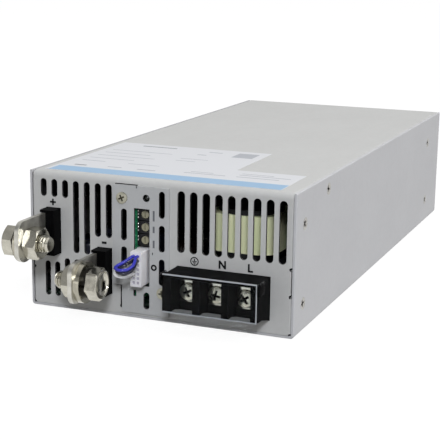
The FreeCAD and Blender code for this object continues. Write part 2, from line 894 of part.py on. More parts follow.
def make_control_plate():
    body = new_body("control_sheet")
    shape = sketch(body, "XZ_Plane", "control_plate_outline", -front)
    high = top - size.plate_drop
    outline(shape, [(size.plate_left, high), (size.plate_left, size.plate_notch_top),
                    (size.plate_notch_left, size.plate_notch_top), (size.plate_notch_left, size.plate_bottom),
                    (size.plate_right, size.plate_bottom), (size.plate_right, high)])
    swept("Pad", body, shape, "control_plate_sheet", size.plate_thickness)
    body.Tip = control_cutouts(body, plate_face, size.plate_thickness * 2, "control_plate", 0.0)
    node(cut("control_plate", body, *hook_slit("control_plate", (plate_face - beyond, front))))


def fan_places():
    # Size of a fan and the middle of each fan on the rear panel.
    flange_face = cover_side - size.sheet
    side = smaller(ceiling - size.sheet - size.fan_gap * 2, flange_face - size.fan_gap * 2)
    middle_z = size.sheet + size.fan_gap + side / 2
    return side, {"left": -(side / 2 + size.fan_gap), "right": side / 2 + size.fan_gap}, middle_z


fan_side, fan_x, fan_z = fan_places()
fan_front = inner_rear - size.fan_depth
duct_radius = fan_side / 2 - size.fan_wall
fan_screw_spots = [(fan_x[name] + sx * (fan_side / 2 - size.fan_screw_inset),
                    fan_z + sz * (fan_side / 2 - size.fan_screw_inset))
                   for name in ("left", "right") for sx in (-1, 1) for sz in (-1, 1)]


def outlet_tool(name, x):
    # The ring slots of one air outlet, with two crossed spokes left standing.
    through = (inner_rear - beyond, rear + beyond)
    band = (duct_radius - size.outlet_inner) / OUTLET_RINGS
    rings = []
    for index in range(OUTLET_RINGS):
        inner = size.outlet_inner + band * index
        outer = inner + band - size.outlet_bar
        disc = rod(f"{name}_disc_{index}", "y", outer, through, (x, fan_z))
        hole = rod(f"{name}_core_{index}", "y", inner, through, (x, fan_z))
        rings.append(cut(f"{name}_ring_{index}", disc, hole))
    spokes = []
    reach = duct_radius + beyond
    half_spoke = size.outlet_spoke / 2
    spokes.append(box(f"{name}_spoke_flat", (x - reach, x + reach), through, (fan_z - half_spoke, fan_z + half_spoke)))
    spokes.append(box(f"{name}_spoke_up", (x - half_spoke, x + half_spoke), through, (fan_z - reach, fan_z + reach)))
    return cut(name, group(f"{name}_rings", rings), *spokes)


def make_rear_panel():
    body = new_body("rear_sheet")
    low = size.sheet + size.seam_gap
    high = ceiling - size.seam_gap
    start = rear - size.rear_flange
    inside = cover_side - size.sheet
    section = sketch(body, "XY_Plane", "rear_section", low)
    outline(section, [(-cover_side, start), (-cover_side, rear), (cover_side, rear), (cover_side, start),
                      (inside, start), (inside, inner_rear), (-inside, inner_rear), (-inside, start)])
    folded = swept("Pad", body, section, "rear_fold", high - low)
    rounded(body, folded, "rear_bends", size.flange_bend,
            lambda line: runs(line, "z", x=[-cover_side, cover_side], y=[rear]))
    trims = sketch(body, "YZ_Plane", "rear_flange_outline")
    flange_high = top - size.top_flange - size.seam_gap
    rectangle(trims, (start - beyond, inner_rear), (flange_high, top + beyond))
    rectangle(trims, (start - beyond, inner_rear), (-beyond, size.rear_flange_floor))
    swept("Pocket", body, trims, "rear_flanges", size.case_width, "Symmetric")
    tools = screw_bores("rear") + [outlet_tool(f"{name}_outlet", x) for name, x in fan_x.items()]
    radius = size.fan_screw_radius + size.fan_screw_gap
    for index, spot in enumerate(fan_screw_spots):
        tools.append(rod(f"rear_fan_hole_{index}", "y", radius, (inner_rear - beyond, rear + beyond), spot))
    node(cut("rear_panel", body, *tools))


def make_case_screws():
    screws = []
    for index, spot in enumerate(side_screws):
        for side in (-1, 1):
            name = f"case_screw_{index}_{side + 1}"
            radii = (size.screw_radius, size.screw_head_radius)
            depth = (wall, half)
            shank = (wall - size.screw_length, wall)
            if side < 0:
                radii = radii[::-1]
                depth = (-half, -wall)
                shank = (-wall, -wall + size.screw_length)
            head = cone(f"{name}_head", "x", radii, depth, spot)
            screws.append(fuse(name, head, rod(f"{name}_shank", "x", size.screw_radius, shank, spot)))
    node(group("case_screws", screws))


def cross_screw(name, spot, seat, head, span, shank):
    # A pan-head screw that points into the case: head radius and height, recess span, shank radius and length.
    x, z = spot
    face = seat - head[1]
    cap = rod(f"{name}_head", "y", head[0], (face, seat), spot)
    stem = rod(f"{name}_shank", "y", shank[0], (seat, seat + shank[1]), spot)
    half_width = size.recess_width / 2
    half_span = span / 2
    depth = (face - size.recess_depth, face + size.recess_depth)
    flat = box(f"{name}_recess_flat", (x - half_span, x + half_span), depth, (z - half_width, z + half_width))
    upright = box(f"{name}_recess_up", (x - half_width, x + half_width), depth, (z - half_span, z + half_span))
    return cut(name, fuse(f"{name}_blank", cap, stem), flat, upright)


def make_control_plate_screws():
    head = (size.plate_screw_head_radius, size.plate_screw_head_height)
    shank = (size.screw_radius, size.plate_screw_length)
    screws = [cross_screw(f"plate_screw_{index}", spot, plate_face, head, size.recess_span, shank)
              for index, spot in enumerate(plate_screws)]
    node(group("control_plate_screws", screws))


def make_rating_label():
    body = new_body("rating_label")
    shape = sketch(body, "XY_Plane", "label_outline", top)
    near = front + size.label_front
    step = front + size.label_step
    far = front + size.label_back
    outline(shape, [(size.label_left, near), (size.label_right, near), (size.label_right, step),
                    (size.label_inner, step), (size.label_inner, far), (size.label_left, far)])
    swept("Pad", body, shape, "label_film", size.label_thickness)
    node(body)


bolt_y = front - size.bar_reach + size.bolt_setback


def make_busbar(name, terminal):
    body = new_body(f"{name}_busbar")
    low = terminal.z - size.bar_height / 2
    high = terminal.z + size.bar_height / 2
    tip = front - size.bar_reach
    back = front + terminal.back
    foot = (front + size.bar_foot_inset, front + size.bar_foot_inset + size.bar_foot_width)
    shape = sketch(body, "YZ_Plane", f"{name}_busbar_outline", terminal.face - size.bar_thickness)
    outline(shape, [(tip, low), (foot[0], low), (foot[0], board_top), (foot[1], board_top), (foot[1], low),
                    (back, low), (back, high), (tip, high)])
    circle(shape, bolt_y, terminal.bolt_z, size.bolt_hole_radius)
    bar = swept("Pad", body, shape, f"{name}_busbar_plate", size.bar_thickness)
    rounded(body, bar, f"{name}_busbar_corners", size.bar_round, lambda line: runs(line, "x", y=[tip]))
    node(body)


def make_insulator(name, terminal):
    body = new_body(f"{name}_insulator")
    slot_x = terminal.face + size.insulator_gap
    slot_z = terminal.z + size.bar_height / 2 + size.insulator_gap
    stages = (("sleeve", 0.0, front - size.insulator_reach, size.insulator_reach + size.sheet),
              ("lip", size.insulator_lip, inner_front, size.insulator_lip_depth))
    for stage, grow, start, depth in stages:
        x, z = insulator_span(terminal, grow)
        shape = sketch(body, "XZ_Plane", f"{name}_{stage}_outline", -start)
        outline(shape, [(x[0], z[1]), (x[0], slot_z), (slot_x, slot_z), (slot_x, z[0]), (x[1], z[0]), (x[1], z[1])])
        swept("Pad", body, shape, f"{name}_{stage}", depth, backward=True)
    node(body)


def hex_blank(name, along, center, turn, chamfer_low, chamfer_high):
    # A hexagon with its corners turned off at the ends that show.
    low, high = along
    corner = size.bolt_flats / math.sqrt(3)
    prism = hexagon(f"{name}_prism", "x", size.bolt_flats, along, center, turn)
    flat = size.bolt_flats / 2
    rise = size.hex_chamfer
    inner = (low + rise if chamfer_low else low, high - rise if chamfer_high else high)
    turning = [rod(f"{name}_turning", "x", corner, inner, center)]
    if chamfer_low:
        turning.append(cone(f"{name}_low_chamfer", "x", (flat, corner), (low, low + rise), center))
    if chamfer_high:
        turning.append(cone(f"{name}_high_chamfer", "x", (corner, flat), (high - rise, high), center))
    turned_form = turning[0] if len(turning) == 1 else fuse(f"{name}_turned", *turning)
    return common(f"{name}_blank", prism, turned_form)


def make_fasteners(name, terminal):
    # Bolt, nut, flat washers and split washer stacked outwards from the bar's faces.
    center = (bolt_y, terminal.bolt_z)
    side = terminal.head
    bar = {1: terminal.face, -1: terminal.face - size.bar_thickness}
    ring_hole = size.bolt_hole_radius

    def span(start, thickness, direction):
        end = start + thickness * direction
        return (start, end) if direction > 0 else (end, start)

    def ring(label, along, radius, bore):
        disc = rod(f"{label}_disc", "x", radius, along, center)
        return cut(label, disc, rod(f"{label}_bore", "x", bore, along, center))

    seat = bar[side]
    flats = []
    for index in range(terminal.washers):
        flats.append(ring(f"{name}_flat_{index}", span(seat, size.washer_thickness, side), size.washer_radius, ring_hole))
        seat = seat + size.washer_thickness * side
    node(group(f"{name}_flat_washers", flats))
    spring_span = span(seat, size.spring_thickness, side)
    spring = ring(f"{name}_spring_ring", spring_span, size.spring_radius, ring_hole)
    half_split = size.spring_split / 2
    gap = box(f"{name}_spring_gap", spring_span, (bolt_y - size.spring_radius - beyond, bolt_y),
              (terminal.bolt_z - half_split, terminal.bolt_z + half_split))
    node(cut(f"{name}_spring_washer", spring, gap))
    seat = seat + size.spring_thickness * side
    head_span = span(seat, size.bolt_head, side)
    head = hex_blank(f"{name}_head", head_span, center, HEAD_TURN[name], side < 0, side > 0)
    dish_face = seat + size.bolt_head * side
    dish = rod(f"{name}_dish", "x", size.bolt_dish_radius, span(dish_face, size.bolt_dish_depth, -side), center)
    tip = seat - terminal.bolt * side
    shoulder = tip + size.bolt_tip * side
    shank = rod(f"{name}_shank", "x", size.bolt_radius, span(seat, terminal.bolt - size.bolt_tip, -side), center)
    small = size.bolt_radius - size.bolt_tip
    radii = (small, size.bolt_radius) if side > 0 else (size.bolt_radius, small)
    point = cone(f"{name}_tip", "x", radii, span(shoulder, size.bolt_tip, -side), center)
    node(fuse(f"{name}_bolt", cut(f"{name}_dished_head", head, dish), shank, point))
    nut_seat = bar[-side]
    nut_span = span(nut_seat, terminal.nut, -side)
    blank = hex_blank(f"{name}_nut", nut_span, center, NUT_TURN, True, True)
    bore = rod(f"{name}_nut_bore", "x", size.bolt_radius + size.nut_bore_gap, nut_span, center)
    node(cut(f"{name}_nut", blank, bore))


pole_x = [(size.block_left + size.block_right) / 2 + size.pole_pitch * (index - (POLES - 1) / 2)
          for index in range(POLES)]
block_face = front - size.block_reach
pole_back = block_face + size.pole_depth
contact_face = pole_back - size.contact_thickness
clamp_face = contact_face - size.clamp_thickness
pivot = (block_face + size.pivot_setback, size.block_top - size.pivot_drop)


def make_terminal_block():
    body = new_body("terminal_moulding")
    section = sketch(body, "YZ_Plane", "terminal_section", size.block_left)
    rear_face = front + size.block_inner
    outline(section, [(block_face, size.block_top), (block_face, size.block_nose_bottom),
                      (block_face + size.block_nose_depth, size.block_nose_bottom), (front, board_top),
                      (rear_face, board_top), (rear_face, size.block_top)])
    solid = swept("Pad", body, section, "terminal_solid", size.block_right - size.block_left)
    rounded(body, solid, "terminal_nose", size.block_nose_round,
            lambda line: runs(line, "x", y=[block_face], z=[size.block_top]))
    tools = []
    half_pole = size.pole_width / 2
    bore = size.pole_screw_radius + size.pole_screw_gap
    for index, x in enumerate(pole_x):
        tools.append(box(f"pole_{index}", (x - half_pole, x + half_pole), (block_face - beyond, pole_back),
                         (board_top - beyond, size.block_top - size.pole_roof)))
        tools.append(rod(f"pole_bore_{index}", "y", bore, (pole_back, clamp_face + size.pole_screw_length),
                         (x, size.pole_screw_z)))
    radius = size.pivot_radius + size.pivot_gap
    depth = size.pivot_length + size.pivot_gap - size.shield_gap
    tools.append(rod("pivot_hole_left", "x", radius, (size.block_left, size.block_left + depth), pivot))
    tools.append(rod("pivot_hole_right", "x", radius, (size.block_right - depth, size.block_right), pivot))
    node(cut("terminal_block", body, *tools))


def make_terminal_contacts():
    plates, clamps, screws = [], [], []
    bore = size.pole_screw_radius + size.pole_screw_gap
    head = (size.pole_screw_head_radius, size.pole_screw_head_height)
    shank = (size.pole_screw_radius, size.pole_screw_length)
    half_contact = size.contact_width / 2
    half_clamp = size.clamp_size / 2
    for index, x in enumerate(pole_x):
        spot = (x, size.pole_screw_z)
        sheet_form = box(f"contact_{index}", (x - half_contact, x + half_contact), (contact_face, pole_back),
                         (size.contact_bottom, size.block_top - size.pole_roof))
        hole = rod(f"contact_hole_{index}", "y", bore, (contact_face, pole_back), spot)
        plates.append(cut(f"contact_plate_{index}", sheet_form, hole))
        pad = box(f"clamp_{index}", (x - half_clamp, x + half_clamp), (clamp_face, contact_face),
                  (size.pole_screw_z - half_clamp, size.pole_screw_z + half_clamp))
        hole = rod(f"clamp_hole_{index}", "y", bore, (clamp_face, contact_face), spot)
        clamps.append(cut(f"clamp_plate_{index}", pad, hole))
        screws.append(cross_screw(f"pole_screw_{index}", spot, clamp_face, head, size.pole_recess_span, shank))
    node(group("terminal_plates", plates))
    node(group("terminal_washers", clamps))
    node(group("terminal_screws", screws))


def make_terminal_cover():
    body = new_body("terminal_shield")
    inner_y = block_face - size.shield_gap
    outer_y = inner_y - size.shield_thickness
    back_y = inner_y + size.shield_wrap
    inner = (size.block_left - size.shield_gap, size.block_right + size.shield_gap)
    outer = (inner[0] - size.shield_ear, inner[1] + size.shield_ear)
    high = size.block_top + size.shield_rise
    ear_low = pivot[1] - size.shield_ear_half
    section = sketch(body, "XY_Plane", "shield_ears", ear_low)
    outline(section, [(outer[0], back_y), (outer[0], outer_y), (outer[1], outer_y), (outer[1], back_y),
                      (inner[1], back_y), (inner[1], inner_y), (inner[0], inner_y), (inner[0], back_y)])
    strip = swept("Pad", body, section, "shield_strip", high - ear_low)
    rounded(body, strip, "shield_edges", size.shield_edge, lambda line: runs(line, "z", x=outer, y=[outer_y]))
    pane = sketch(body, "XY_Plane", "shield_pane", size.shield_bottom)
    rectangle(pane, (size.block_left + size.shield_inset, size.block_right - size.shield_inset), (outer_y, inner_y))
    body.Tip = swept("Pad", body, pane, "shield_sheet", ear_low - size.shield_bottom)
    pins = [rod("shield_pin_left", "x", size.pivot_radius, (inner[0], inner[0] + size.pivot_length), pivot),
            rod("shield_pin_right", "x", size.pivot_radius, (inner[1] - size.pivot_length, inner[1]), pivot)]
    node(fuse("terminal_cover", body, *pins))


def make_control_board():
    face = size.control_board_face
    start = inner_front + size.control_board_inset
    node(box("control_board", (face - size.control_board_thickness, face), (start, start + size.control_board_depth),
             (board_top, size.control_board_top)))


def make_trimmers():
    bodies = []
    face = front + size.trimmer_inset
    rotor_front = face - size.rotor_proud
    rotor_back = rotor_front + size.rotor_height
    half_height = size.trimmer_height / 2
    for index in range(TRIMMERS):
        z = size.trimmer_first_z - size.trimmer_pitch * index
        spot = (size.rotor_x, z)
        block = box(f"trimmer_block_{index}", (size.control_board_face, size.trimmer_right),
                    (face, face + size.trimmer_depth), (z - half_height, z + half_height))
        seat = rod(f"trimmer_seat_{index}", "y", size.rotor_radius + size.rotor_gap,
                   (face, rotor_back + size.rotor_seat_gap), spot)
        bodies.append(cut(f"trimmer_{index}", block, seat))
        disc = rod(f"rotor_disc_{index}", "y", size.rotor_radius, (rotor_front, rotor_back), spot)
        half_span = size.rotor_slot_span / 2
        half_slot = size.rotor_slot_width / 2
        groove = box(f"rotor_groove_{index}", (size.rotor_x - half_slot, size.rotor_x + half_slot),
                     (rotor_front - beyond, rotor_front + size.rotor_slot_depth), (z - half_span, z + half_span))
        node(cut(f"trimmer_rotor_{index + 1}", disc, groove))
    node(group("trimmer_bodies", bodies))


plug_face = front - size.plug_reach
plug_x = (size.plug_left + size.plug_right) / 2
plug_z = (size.plug_bottom + size.plug_top) / 2
plug_columns = [plug_x - size.cavity_pitch / 2, plug_x + size.cavity_pitch / 2]
plug_rows = [plug_z + size.cavity_pitch * ((PLUG_ROWS - 1) / 2 - index) for index in range(PLUG_ROWS)]


def make_connector():
    header_front = front + size.header_inset
    node(box("signal_header", (size.control_board_face, size.header_right),
             (header_front, header_front + size.header_depth),
             (size.plug_bottom + size.header_inset_z, size.plug_top - size.header_inset_z)))
    body = new_body("plug_moulding")
    base = sketch(body, "XZ_Plane", "plug_outline", -plug_face)
    rectangle(base, (size.plug_left, size.plug_right), (size.plug_bottom, size.plug_top))
    solid = swept("Pad", body, base, "plug_solid", size.plug_reach + size.header_inset, backward=True)
    rounded(body, solid, "plug_edges", size.plug_edge, lambda line: runs(line, "y"))
    wired = {(column, row) for column in (0, 1) for row, _ in JUMPERS.values()}
    half_cavity = size.cavity_size / 2
    cavities = []
    for column, x in enumerate(plug_columns):
        for row, z in enumerate(plug_rows):
            if (column, row) not in wired:
                cavities.append(box(f"cavity_{column}_{row}", (x - half_cavity, x + half_cavity),
                                    (plug_face, plug_face + size.cavity_depth), (z - half_cavity, z + half_cavity)))
    node(cut("signal_plug", body, *cavities))


def rounded_path(points):
    # Straight runs joined by tangent arcs, each as large as its two runs allow.
    edges = []
    radii = []
    start = points[0]
    for before, corner, after in zip(points, points[1:], points[2:]):
        inward = (before - corner)
        outward = (after - corner)
        reach = 0.45 * min(inward.Length, outward.Length)
        first = corner + inward * (reach / inward.Length)
        last = corner + outward * (reach / outward.Length)
        turn = math.pi - inward.getAngle(outward)
        radius = reach / math.tan(turn / 2)
        radii.append(radius)
        bisector = (inward.normalize() + outward.normalize()).normalize()
        middle = corner + bisector * (radius / math.cos(turn / 2) - radius)
        edges.append(Part.LineSegment(start, first).toShape())
        edges.append(Part.Arc(first, middle, last).toShape())
        start = last
    edges.append(Part.LineSegment(start, points[-1]).toShape())
    return Part.Wire(edges), radii


def make_jumpers():
    corner = Vector(plug_columns[1].value, plug_face.value, plug_rows[0].value)
    for name, (row, steps) in JUMPERS.items():
        ends = [Vector(plug_columns[column].value, plug_face.value, plug_rows[row].value) for column in (1, 0)]
        points = [ends[0]] + [corner + Vector(*step) for step in steps] + [ends[1]]
        path, radii = rounded_path(points)
        wire_radius = size.wire_radius.value
        ring = Part.Wire(Part.makeCircle(wire_radius, points[0], points[1] - points[0]))
        tube = path.makePipeShell([ring], True, False)
        item = doc.addObject("Part::Feature", name)
        item.Shape = tube
        item.Placement = Placement()
        expected = math.pi * wire_radius ** 2 * path.Length
        print(name, "length", round(path.Length, 2), "radii", [round(radius, 2) for radius in radii],
              "volume share", round(tube.Volume / expected, 4))
        node(item)


def make_lamp():
    z = top - size.lamp_drop
    seat = front + size.lamp_holder_inset
    half_height = size.lamp_holder_half_height
    node(box("lamp_holder", (size.control_board_face, size.lamp_x + size.lamp_holder_half_width),
             (seat, seat + size.lamp_holder_depth), (z - half_height, z + half_height)))
    tip = front + size.lamp_inset
    barrel = rod("lamp_barrel", "y", size.lamp_radius, (tip, seat), (size.lamp_x, z))
    dome = doc.addObject("Part::Sphere", "lamp_dome")
    bind(dome, "Radius", size.lamp_radius)
    for letter, place in zip("xyz", (size.lamp_x, tip, z)):
        bind(dome, f"Placement.Base.{letter}", place)
    node(fuse("power_lamp", barrel, dome))


board_x = wall - size.board_side_gap
board_front = inner_front + size.control_board_inset
board_rear = fan_front - size.board_end_gap
board_holes = [(side * (board_x - size.board_hole_inset_x), y)
               for side in (-1, 1) for y in (front + size.board_front_hole, board_rear - size.board_rear_hole)]
board_holes.append((size.board_right_hole_x, front + size.board_right_hole))
board_holes.append((size.board_left_hole_x, front + size.board_left_hole))


def make_main_board():
    slab = box("board_slab", (-board_x, board_x), (board_front, board_rear), (board_bottom, board_top))
    radius = size.board_screw_radius + size.board_hole_gap
    holes = [rod(f"board_hole_{index}", "z", radius, (board_bottom, board_top), spot)
             for index, spot in enumerate(board_holes)]
    node(cut("main_board", slab, *holes))
    spacers, screws = [], []
    for index, spot in enumerate(board_holes):
        post = rod(f"spacer_post_{index}", "z", size.standoff_radius, (size.sheet, board_bottom), spot)
        bore = rod(f"spacer_bore_{index}", "z", radius, (size.sheet, board_bottom), spot)
        spacers.append(cut(f"spacer_{index}", post, bore))
        head = rod(f"board_screw_head_{index}", "z", size.board_screw_head_radius,
                   (board_top, board_top + size.board_screw_head_height), spot)
        shank = rod(f"board_screw_shank_{index}", "z", size.board_screw_radius,
                    (board_top - size.board_screw_length, board_top), spot)
        screws.append(fuse(f"board_screw_{index}", head, shank))
    node(group("board_standoffs", spacers))
    node(group("board_screws", screws))


def make_input_parts():
    near = front + size.choke_inset
    spot = (size.choke_x, near + size.choke_depth / 2)
    tape = (size.choke_tape_bottom, size.choke_tape_top)
    rim = size.choke_flange
    core = [rod("choke_stem", "z", size.choke_core_radius, (board_top, tape[1]), spot),
            rod("choke_low_flange", "z", size.choke_flange_radius, (tape[0] - rim, tape[0]), spot),
            rod("choke_top_flange", "z", size.choke_flange_radius, (tape[1], tape[1] + rim), spot)]
    node(fuse("input_choke_core", *core))
    drum = new_body("choke_drum")
    base = sketch(drum, "XY_Plane", "choke_drum_base", tape[0])
    rectangle(base, (size.choke_x - size.choke_width / 2, size.choke_x + size.choke_width / 2),
              (near, near + size.choke_depth))
    wound = swept("Pad", drum, base, "choke_drum_block", tape[1] - tape[0])
    rounded(drum, wound, "choke_drum_corners", size.choke_corner, lambda line: runs(line, "z"))
    node(cut("input_choke_winding", drum, rod("choke_bore", "z", size.choke_core_radius, tape, spot)))
    films = []
    for index in range(2):
        start = front + size.film_inset + size.film_pitch * index
        films.append(brick(f"film_{index}", (size.film_x - size.film_width / 2, size.film_x + size.film_width / 2),
                           (start, start + size.film_length), (board_top, board_top + size.film_height),
                           size.film_edge))
    node(group("filter_capacitors", films))
    start = front + size.fuse_inset
    center = (size.fuse_x, board_top + size.fuse_cap_radius)
    pieces = [rod("fuse_tube", "y", size.fuse_radius, (start, start + size.fuse_length), center)]
    for label, low in (("near", start), ("far", start + size.fuse_length - size.fuse_cap_length)):
        pieces.append(rod(f"fuse_{label}_cap", "y", size.fuse_cap_radius, (low, low + size.fuse_cap_length), center))
    node(fuse("input_fuse", *pieces))
    start = front + size.relay_inset
    node(brick("inrush_relay", (size.relay_x, size.relay_x + size.relay_width), (start, start + size.relay_depth),
               (board_top, board_top + size.relay_height), size.relay_edge))


def comb(name, face, base, fin_length, fin, pitch, count, height, start, length, side):
    # A finned extrusion along the case: a flat face, a base and fins to one side.
    body = new_body(name)
    section = sketch(body, "XZ_Plane", f"{name}_section", -start)
    high = board_top + height
    root = face + base * side
    tip = root + fin_length * side
    points = [(face, high), (face, board_top)]
    for index in range(count):
        low = board_top + pitch * index
        points += [(root, low), (tip, low), (tip, low + fin), (root, low + fin)]
    points = [points[0], points[1]] + points[3:] + [(root, high)]
    outline(section, points)
    swept("Pad", body, section, f"{name}_extrusion", length, backward=True)
    return body


def make_power_parts():
    start = front + size.sink_inset
    node(comb("primary_heatsink", size.sink_face, size.sink_base, size.sink_fin_length, size.sink_fin,
              size.sink_fin_pitch, SINK_FINS, size.sink_height, start, size.sink_length, 1))
    low = board_top + size.device_lift
    node(box("bridge_rectifier", (size.sink_face - size.bridge_thickness, size.sink_face),
             (start, start + size.bridge_length), (low, low + size.bridge_height)))
    devices = []
    for index in range(BRIDGE_DEVICES):
        near = start + size.device_start + size.device_pitch * index
        devices.append(box(f"device_{index}", (size.sink_face - size.device_thickness, size.sink_face),
                           (near, near + size.device_width), (low, low + size.device_height)))
    node(group("power_transistors", devices))
    node(wound_ring("boost_choke", size.boost_x, front + size.boost_inset, size.boost_ring_radius,
                    size.boost_wire_radius))
    bulk = []
    for index in range(BULK_CANS):
        bulk.append(can(f"bulk_{index}", size.bulk_x, front + size.bulk_inset + size.bulk_pitch * index,
                        (board_top, board_top + size.bulk_height), size.bulk_radius, size.bulk_edge))
    node(group("bulk_capacitors", bulk))


def wound_ring(name, x, y, radius, wire):
    ring = doc.addObject("Part::Torus", name)
    bind(ring, "Radius1", radius)
    bind(ring, "Radius2", wire)
    for letter, place in zip("xyz", (x, y, board_top + wire)):
        bind(ring, f"Placement.Base.{letter}", place)
    return ring


def make_transformer():
    # Two ferrite halves read as one core: a frame of yokes and outer legs with a middle leg through the winding.
    x, y = size.core_x, front + size.core_inset
    half_width, half_length = size.core_width / 2, size.core_length / 2
    lift = board_top + size.winding_overhang
    tall = lift + size.core_height
    window_z = (lift + size.core_yoke, tall - size.core_yoke)
    blank = box("core_blank", (x - half_width, x + half_width), (y - half_length, y + half_length), (lift, tall))
    leg = size.core_leg
    windows = [box("core_window_near", (x - half_width, x + half_width), (y - half_length + leg, y - leg), window_z),
               box("core_window_far", (x - half_width, x + half_width), (y + leg, y + half_length - leg), window_z)]
    node(cut("transformer_core", blank, *windows))
    gap = size.core_gap
    reach = half_width + size.winding_overhang
    coil = brick("winding_block", (x - reach, x + reach),
                 (y - half_length + leg + gap, y + half_length - leg - gap),
                 (window_z[0] + gap, window_z[1] - gap), size.winding_edge)
    middle = box("winding_bore", (x - half_width - gap, x + half_width + gap), (y - leg - gap, y + leg + gap),
                 (lift, tall))
    wound = cut("winding_ring", coil, middle)
    posts = []
    for index, side in enumerate((-1, 1)):
        edge = x + side * (half_width + gap)
        outer = x + side * reach
        span_x = (edge, outer) if side > 0 else (outer, edge)
        posts.append(box(f"bobbin_foot_{index}", span_x, (y - leg, y + leg), (board_top, window_z[0] + gap * 2)))
    node(fuse("transformer_winding", wound, *posts))


def make_output_parts():
    start = front + size.rectifier_sink_inset
    node(comb("secondary_heatsink", size.rectifier_sink_face, size.rectifier_sink_base, size.rectifier_sink_fin,
              size.sink_fin, size.sink_fin_pitch, RECTIFIER_FINS, size.rectifier_sink_height, start,
              size.rectifier_sink_length, -1))
    low = board_top + size.device_lift
    devices = []
    for index in range(RECTIFIERS):
        near = start + size.device_pitch * index / 1.3
        devices.append(box(f"rectifier_{index}",
                           (size.rectifier_sink_face, size.rectifier_sink_face + size.device_thickness),
                           (near, near + size.device_width), (low, low + size.device_height)))
    node(group("output_rectifiers", devices))
    node(wound_ring("output_choke", size.ring_x, front + size.ring_inset, size.ring_radius, size.ring_wire_radius))
    cans = []
    for column, x in enumerate((size.can_column_left, size.can_column_right)):
        for index in range(CANS):
            cans.append(can(f"can_{column}_{index}", x, front + size.can_inset + size.can_pitch * index,
                            (board_top, board_top + size.can_height), size.can_radius, size.can_edge))
    node(group("output_capacitors", cans))


def make_fan(name, x):
    reach = fan_side / 2
    span_x = (x - reach, x + reach)
    span_z = (fan_z - reach, fan_z + reach)
    center = (x, fan_z)
    back = fan_front + size.fan_depth
    shell = box(f"{name}_shell", span_x, (fan_front, back), span_z)
    waist = (fan_front + size.fan_flange, back - size.fan_flange)
    corner = size.fan_screw_inset * 2
    tools = [rod(f"{name}_duct", "y", duct_radius, (fan_front, back), center)]
    for index, (sx, sz) in enumerate(((-1, -1), (-1, 1), (1, -1), (1, 1))):
        spot = (x + sx * (reach - size.fan_screw_inset), fan_z + sz * (reach - size.fan_screw_inset))
        tools.append(rod(f"{name}_hole_{index}", "y", size.fan_screw_radius + size.fan_screw_gap, (fan_front, back), spot))
        inner_x, outer_x = x + sx * (reach - size.fan_waist), x + sx * (reach + beyond)
        inner_z, outer_z = fan_z + sz * (reach - corner), fan_z + sz * (reach + beyond)
        notch_x = (inner_x, outer_x) if sx > 0 else (outer_x, inner_x)
        notch_z = (inner_z, outer_z) if sz > 0 else (outer_z, inner_z)
        tools.append(box(f"{name}_waist_{index}", notch_x, waist, notch_z))
    frame = cut(f"{name}_shroud", shell, *tools)
    motor_y = (fan_front, fan_front + size.motor_depth)
    motor = rod(f"{name}_motor", "y", size.motor_radius, motor_y, center)
    half_strut = size.strut_width / 2
    arm = duct_radius + size.fan_wall / 2
    arms = [box(f"{name}_strut_flat", (x - arm, x + arm), motor_y, (fan_z - half_strut, fan_z + half_strut)),
            box(f"{name}_strut_up", (x - half_strut, x + half_strut), motor_y, (fan_z - arm, fan_z + arm))]
    bore = rod(f"{name}_bearing", "y", size.spindle_radius + size.spindle_gap, motor_y, center)
    node(cut(f"{name}_frame", fuse(f"{name}_carrier", frame, motor, *arms), bore))
    node(make_rotor(f"{name}_rotor", x))


def make_rotor(name, x):
    # Hub, spindle and slanted blades about the local y axis, set in the middle of the duct.
    body = new_body(name)
    for letter, place in zip("xyz", (x, fan_front + size.motor_depth + size.hub_gap, fan_z)):
        bind(body, f"Placement.Base.{letter}", place)
    disc = sketch(body, "XZ_Plane", f"{name}_hub_outline")
    circle(disc, 0, 0, size.hub_radius)
    hub = swept("Pad", body, disc, f"{name}_hub", size.hub_depth, backward=True)
    far_end = size.hub_depth.value

    def back_rim(line):
        return len(line.Vertexes) == 1 and abs(line.CenterOfMass.y - far_end) < 1e-4

    rounded(body, hub, f"{name}_hub_edge", size.hub_edge, back_rim)
    stem = sketch(body, "XZ_Plane", f"{name}_spindle_outline")
    circle(stem, 0, 0, size.spindle_radius)
    swept("Pad", body, stem, f"{name}_spindle", size.hub_gap + size.spindle_length)
    root = size.hub_radius - size.blade_root
    tip = duct_radius - size.blade_tip_gap
    middle = size.hub_depth / 2
    half_chord, half_sweep = size.blade_chord / 2, size.blade_sweep / 2
    profile = sketch(body, "YZ_Plane", f"{name}_blade_profile", root)
    outline(profile, [(middle - half_chord, -half_sweep), (middle + half_chord, half_sweep),
                      (middle + half_chord, half_sweep + size.blade_thickness),
                      (middle - half_chord, -half_sweep + size.blade_thickness)])
    blade = swept("Pad", body, profile, f"{name}_blade", tip - root)
    axis = next(item for item in body.Origin.OriginFeatures if item.Role == "Y_Axis")
    ring = body.newObject("PartDesign::PolarPattern", f"{name}_blades")
    ring.Originals = [blade]
    ring.Axis = (axis, [""])
    ring.Angle = 360
    ring.Occurrences = BLADES
    body.Tip = ring
    return body


def make_fan_screws():
    screws = []
    head_end = rear + size.fan_screw_head_height
    for index, spot in enumerate(fan_screw_spots):
        head = rod(f"fan_screw_head_{index}", "y", size.fan_screw_head_radius, (rear, head_end), spot)
        shank = rod(f"fan_screw_shank_{index}", "y", size.fan_screw_radius, (rear - size.fan_screw_length, rear), spot)
        screws.append(fuse(f"fan_screw_{index}", head, shank))
    node(group("fan_screws", screws))


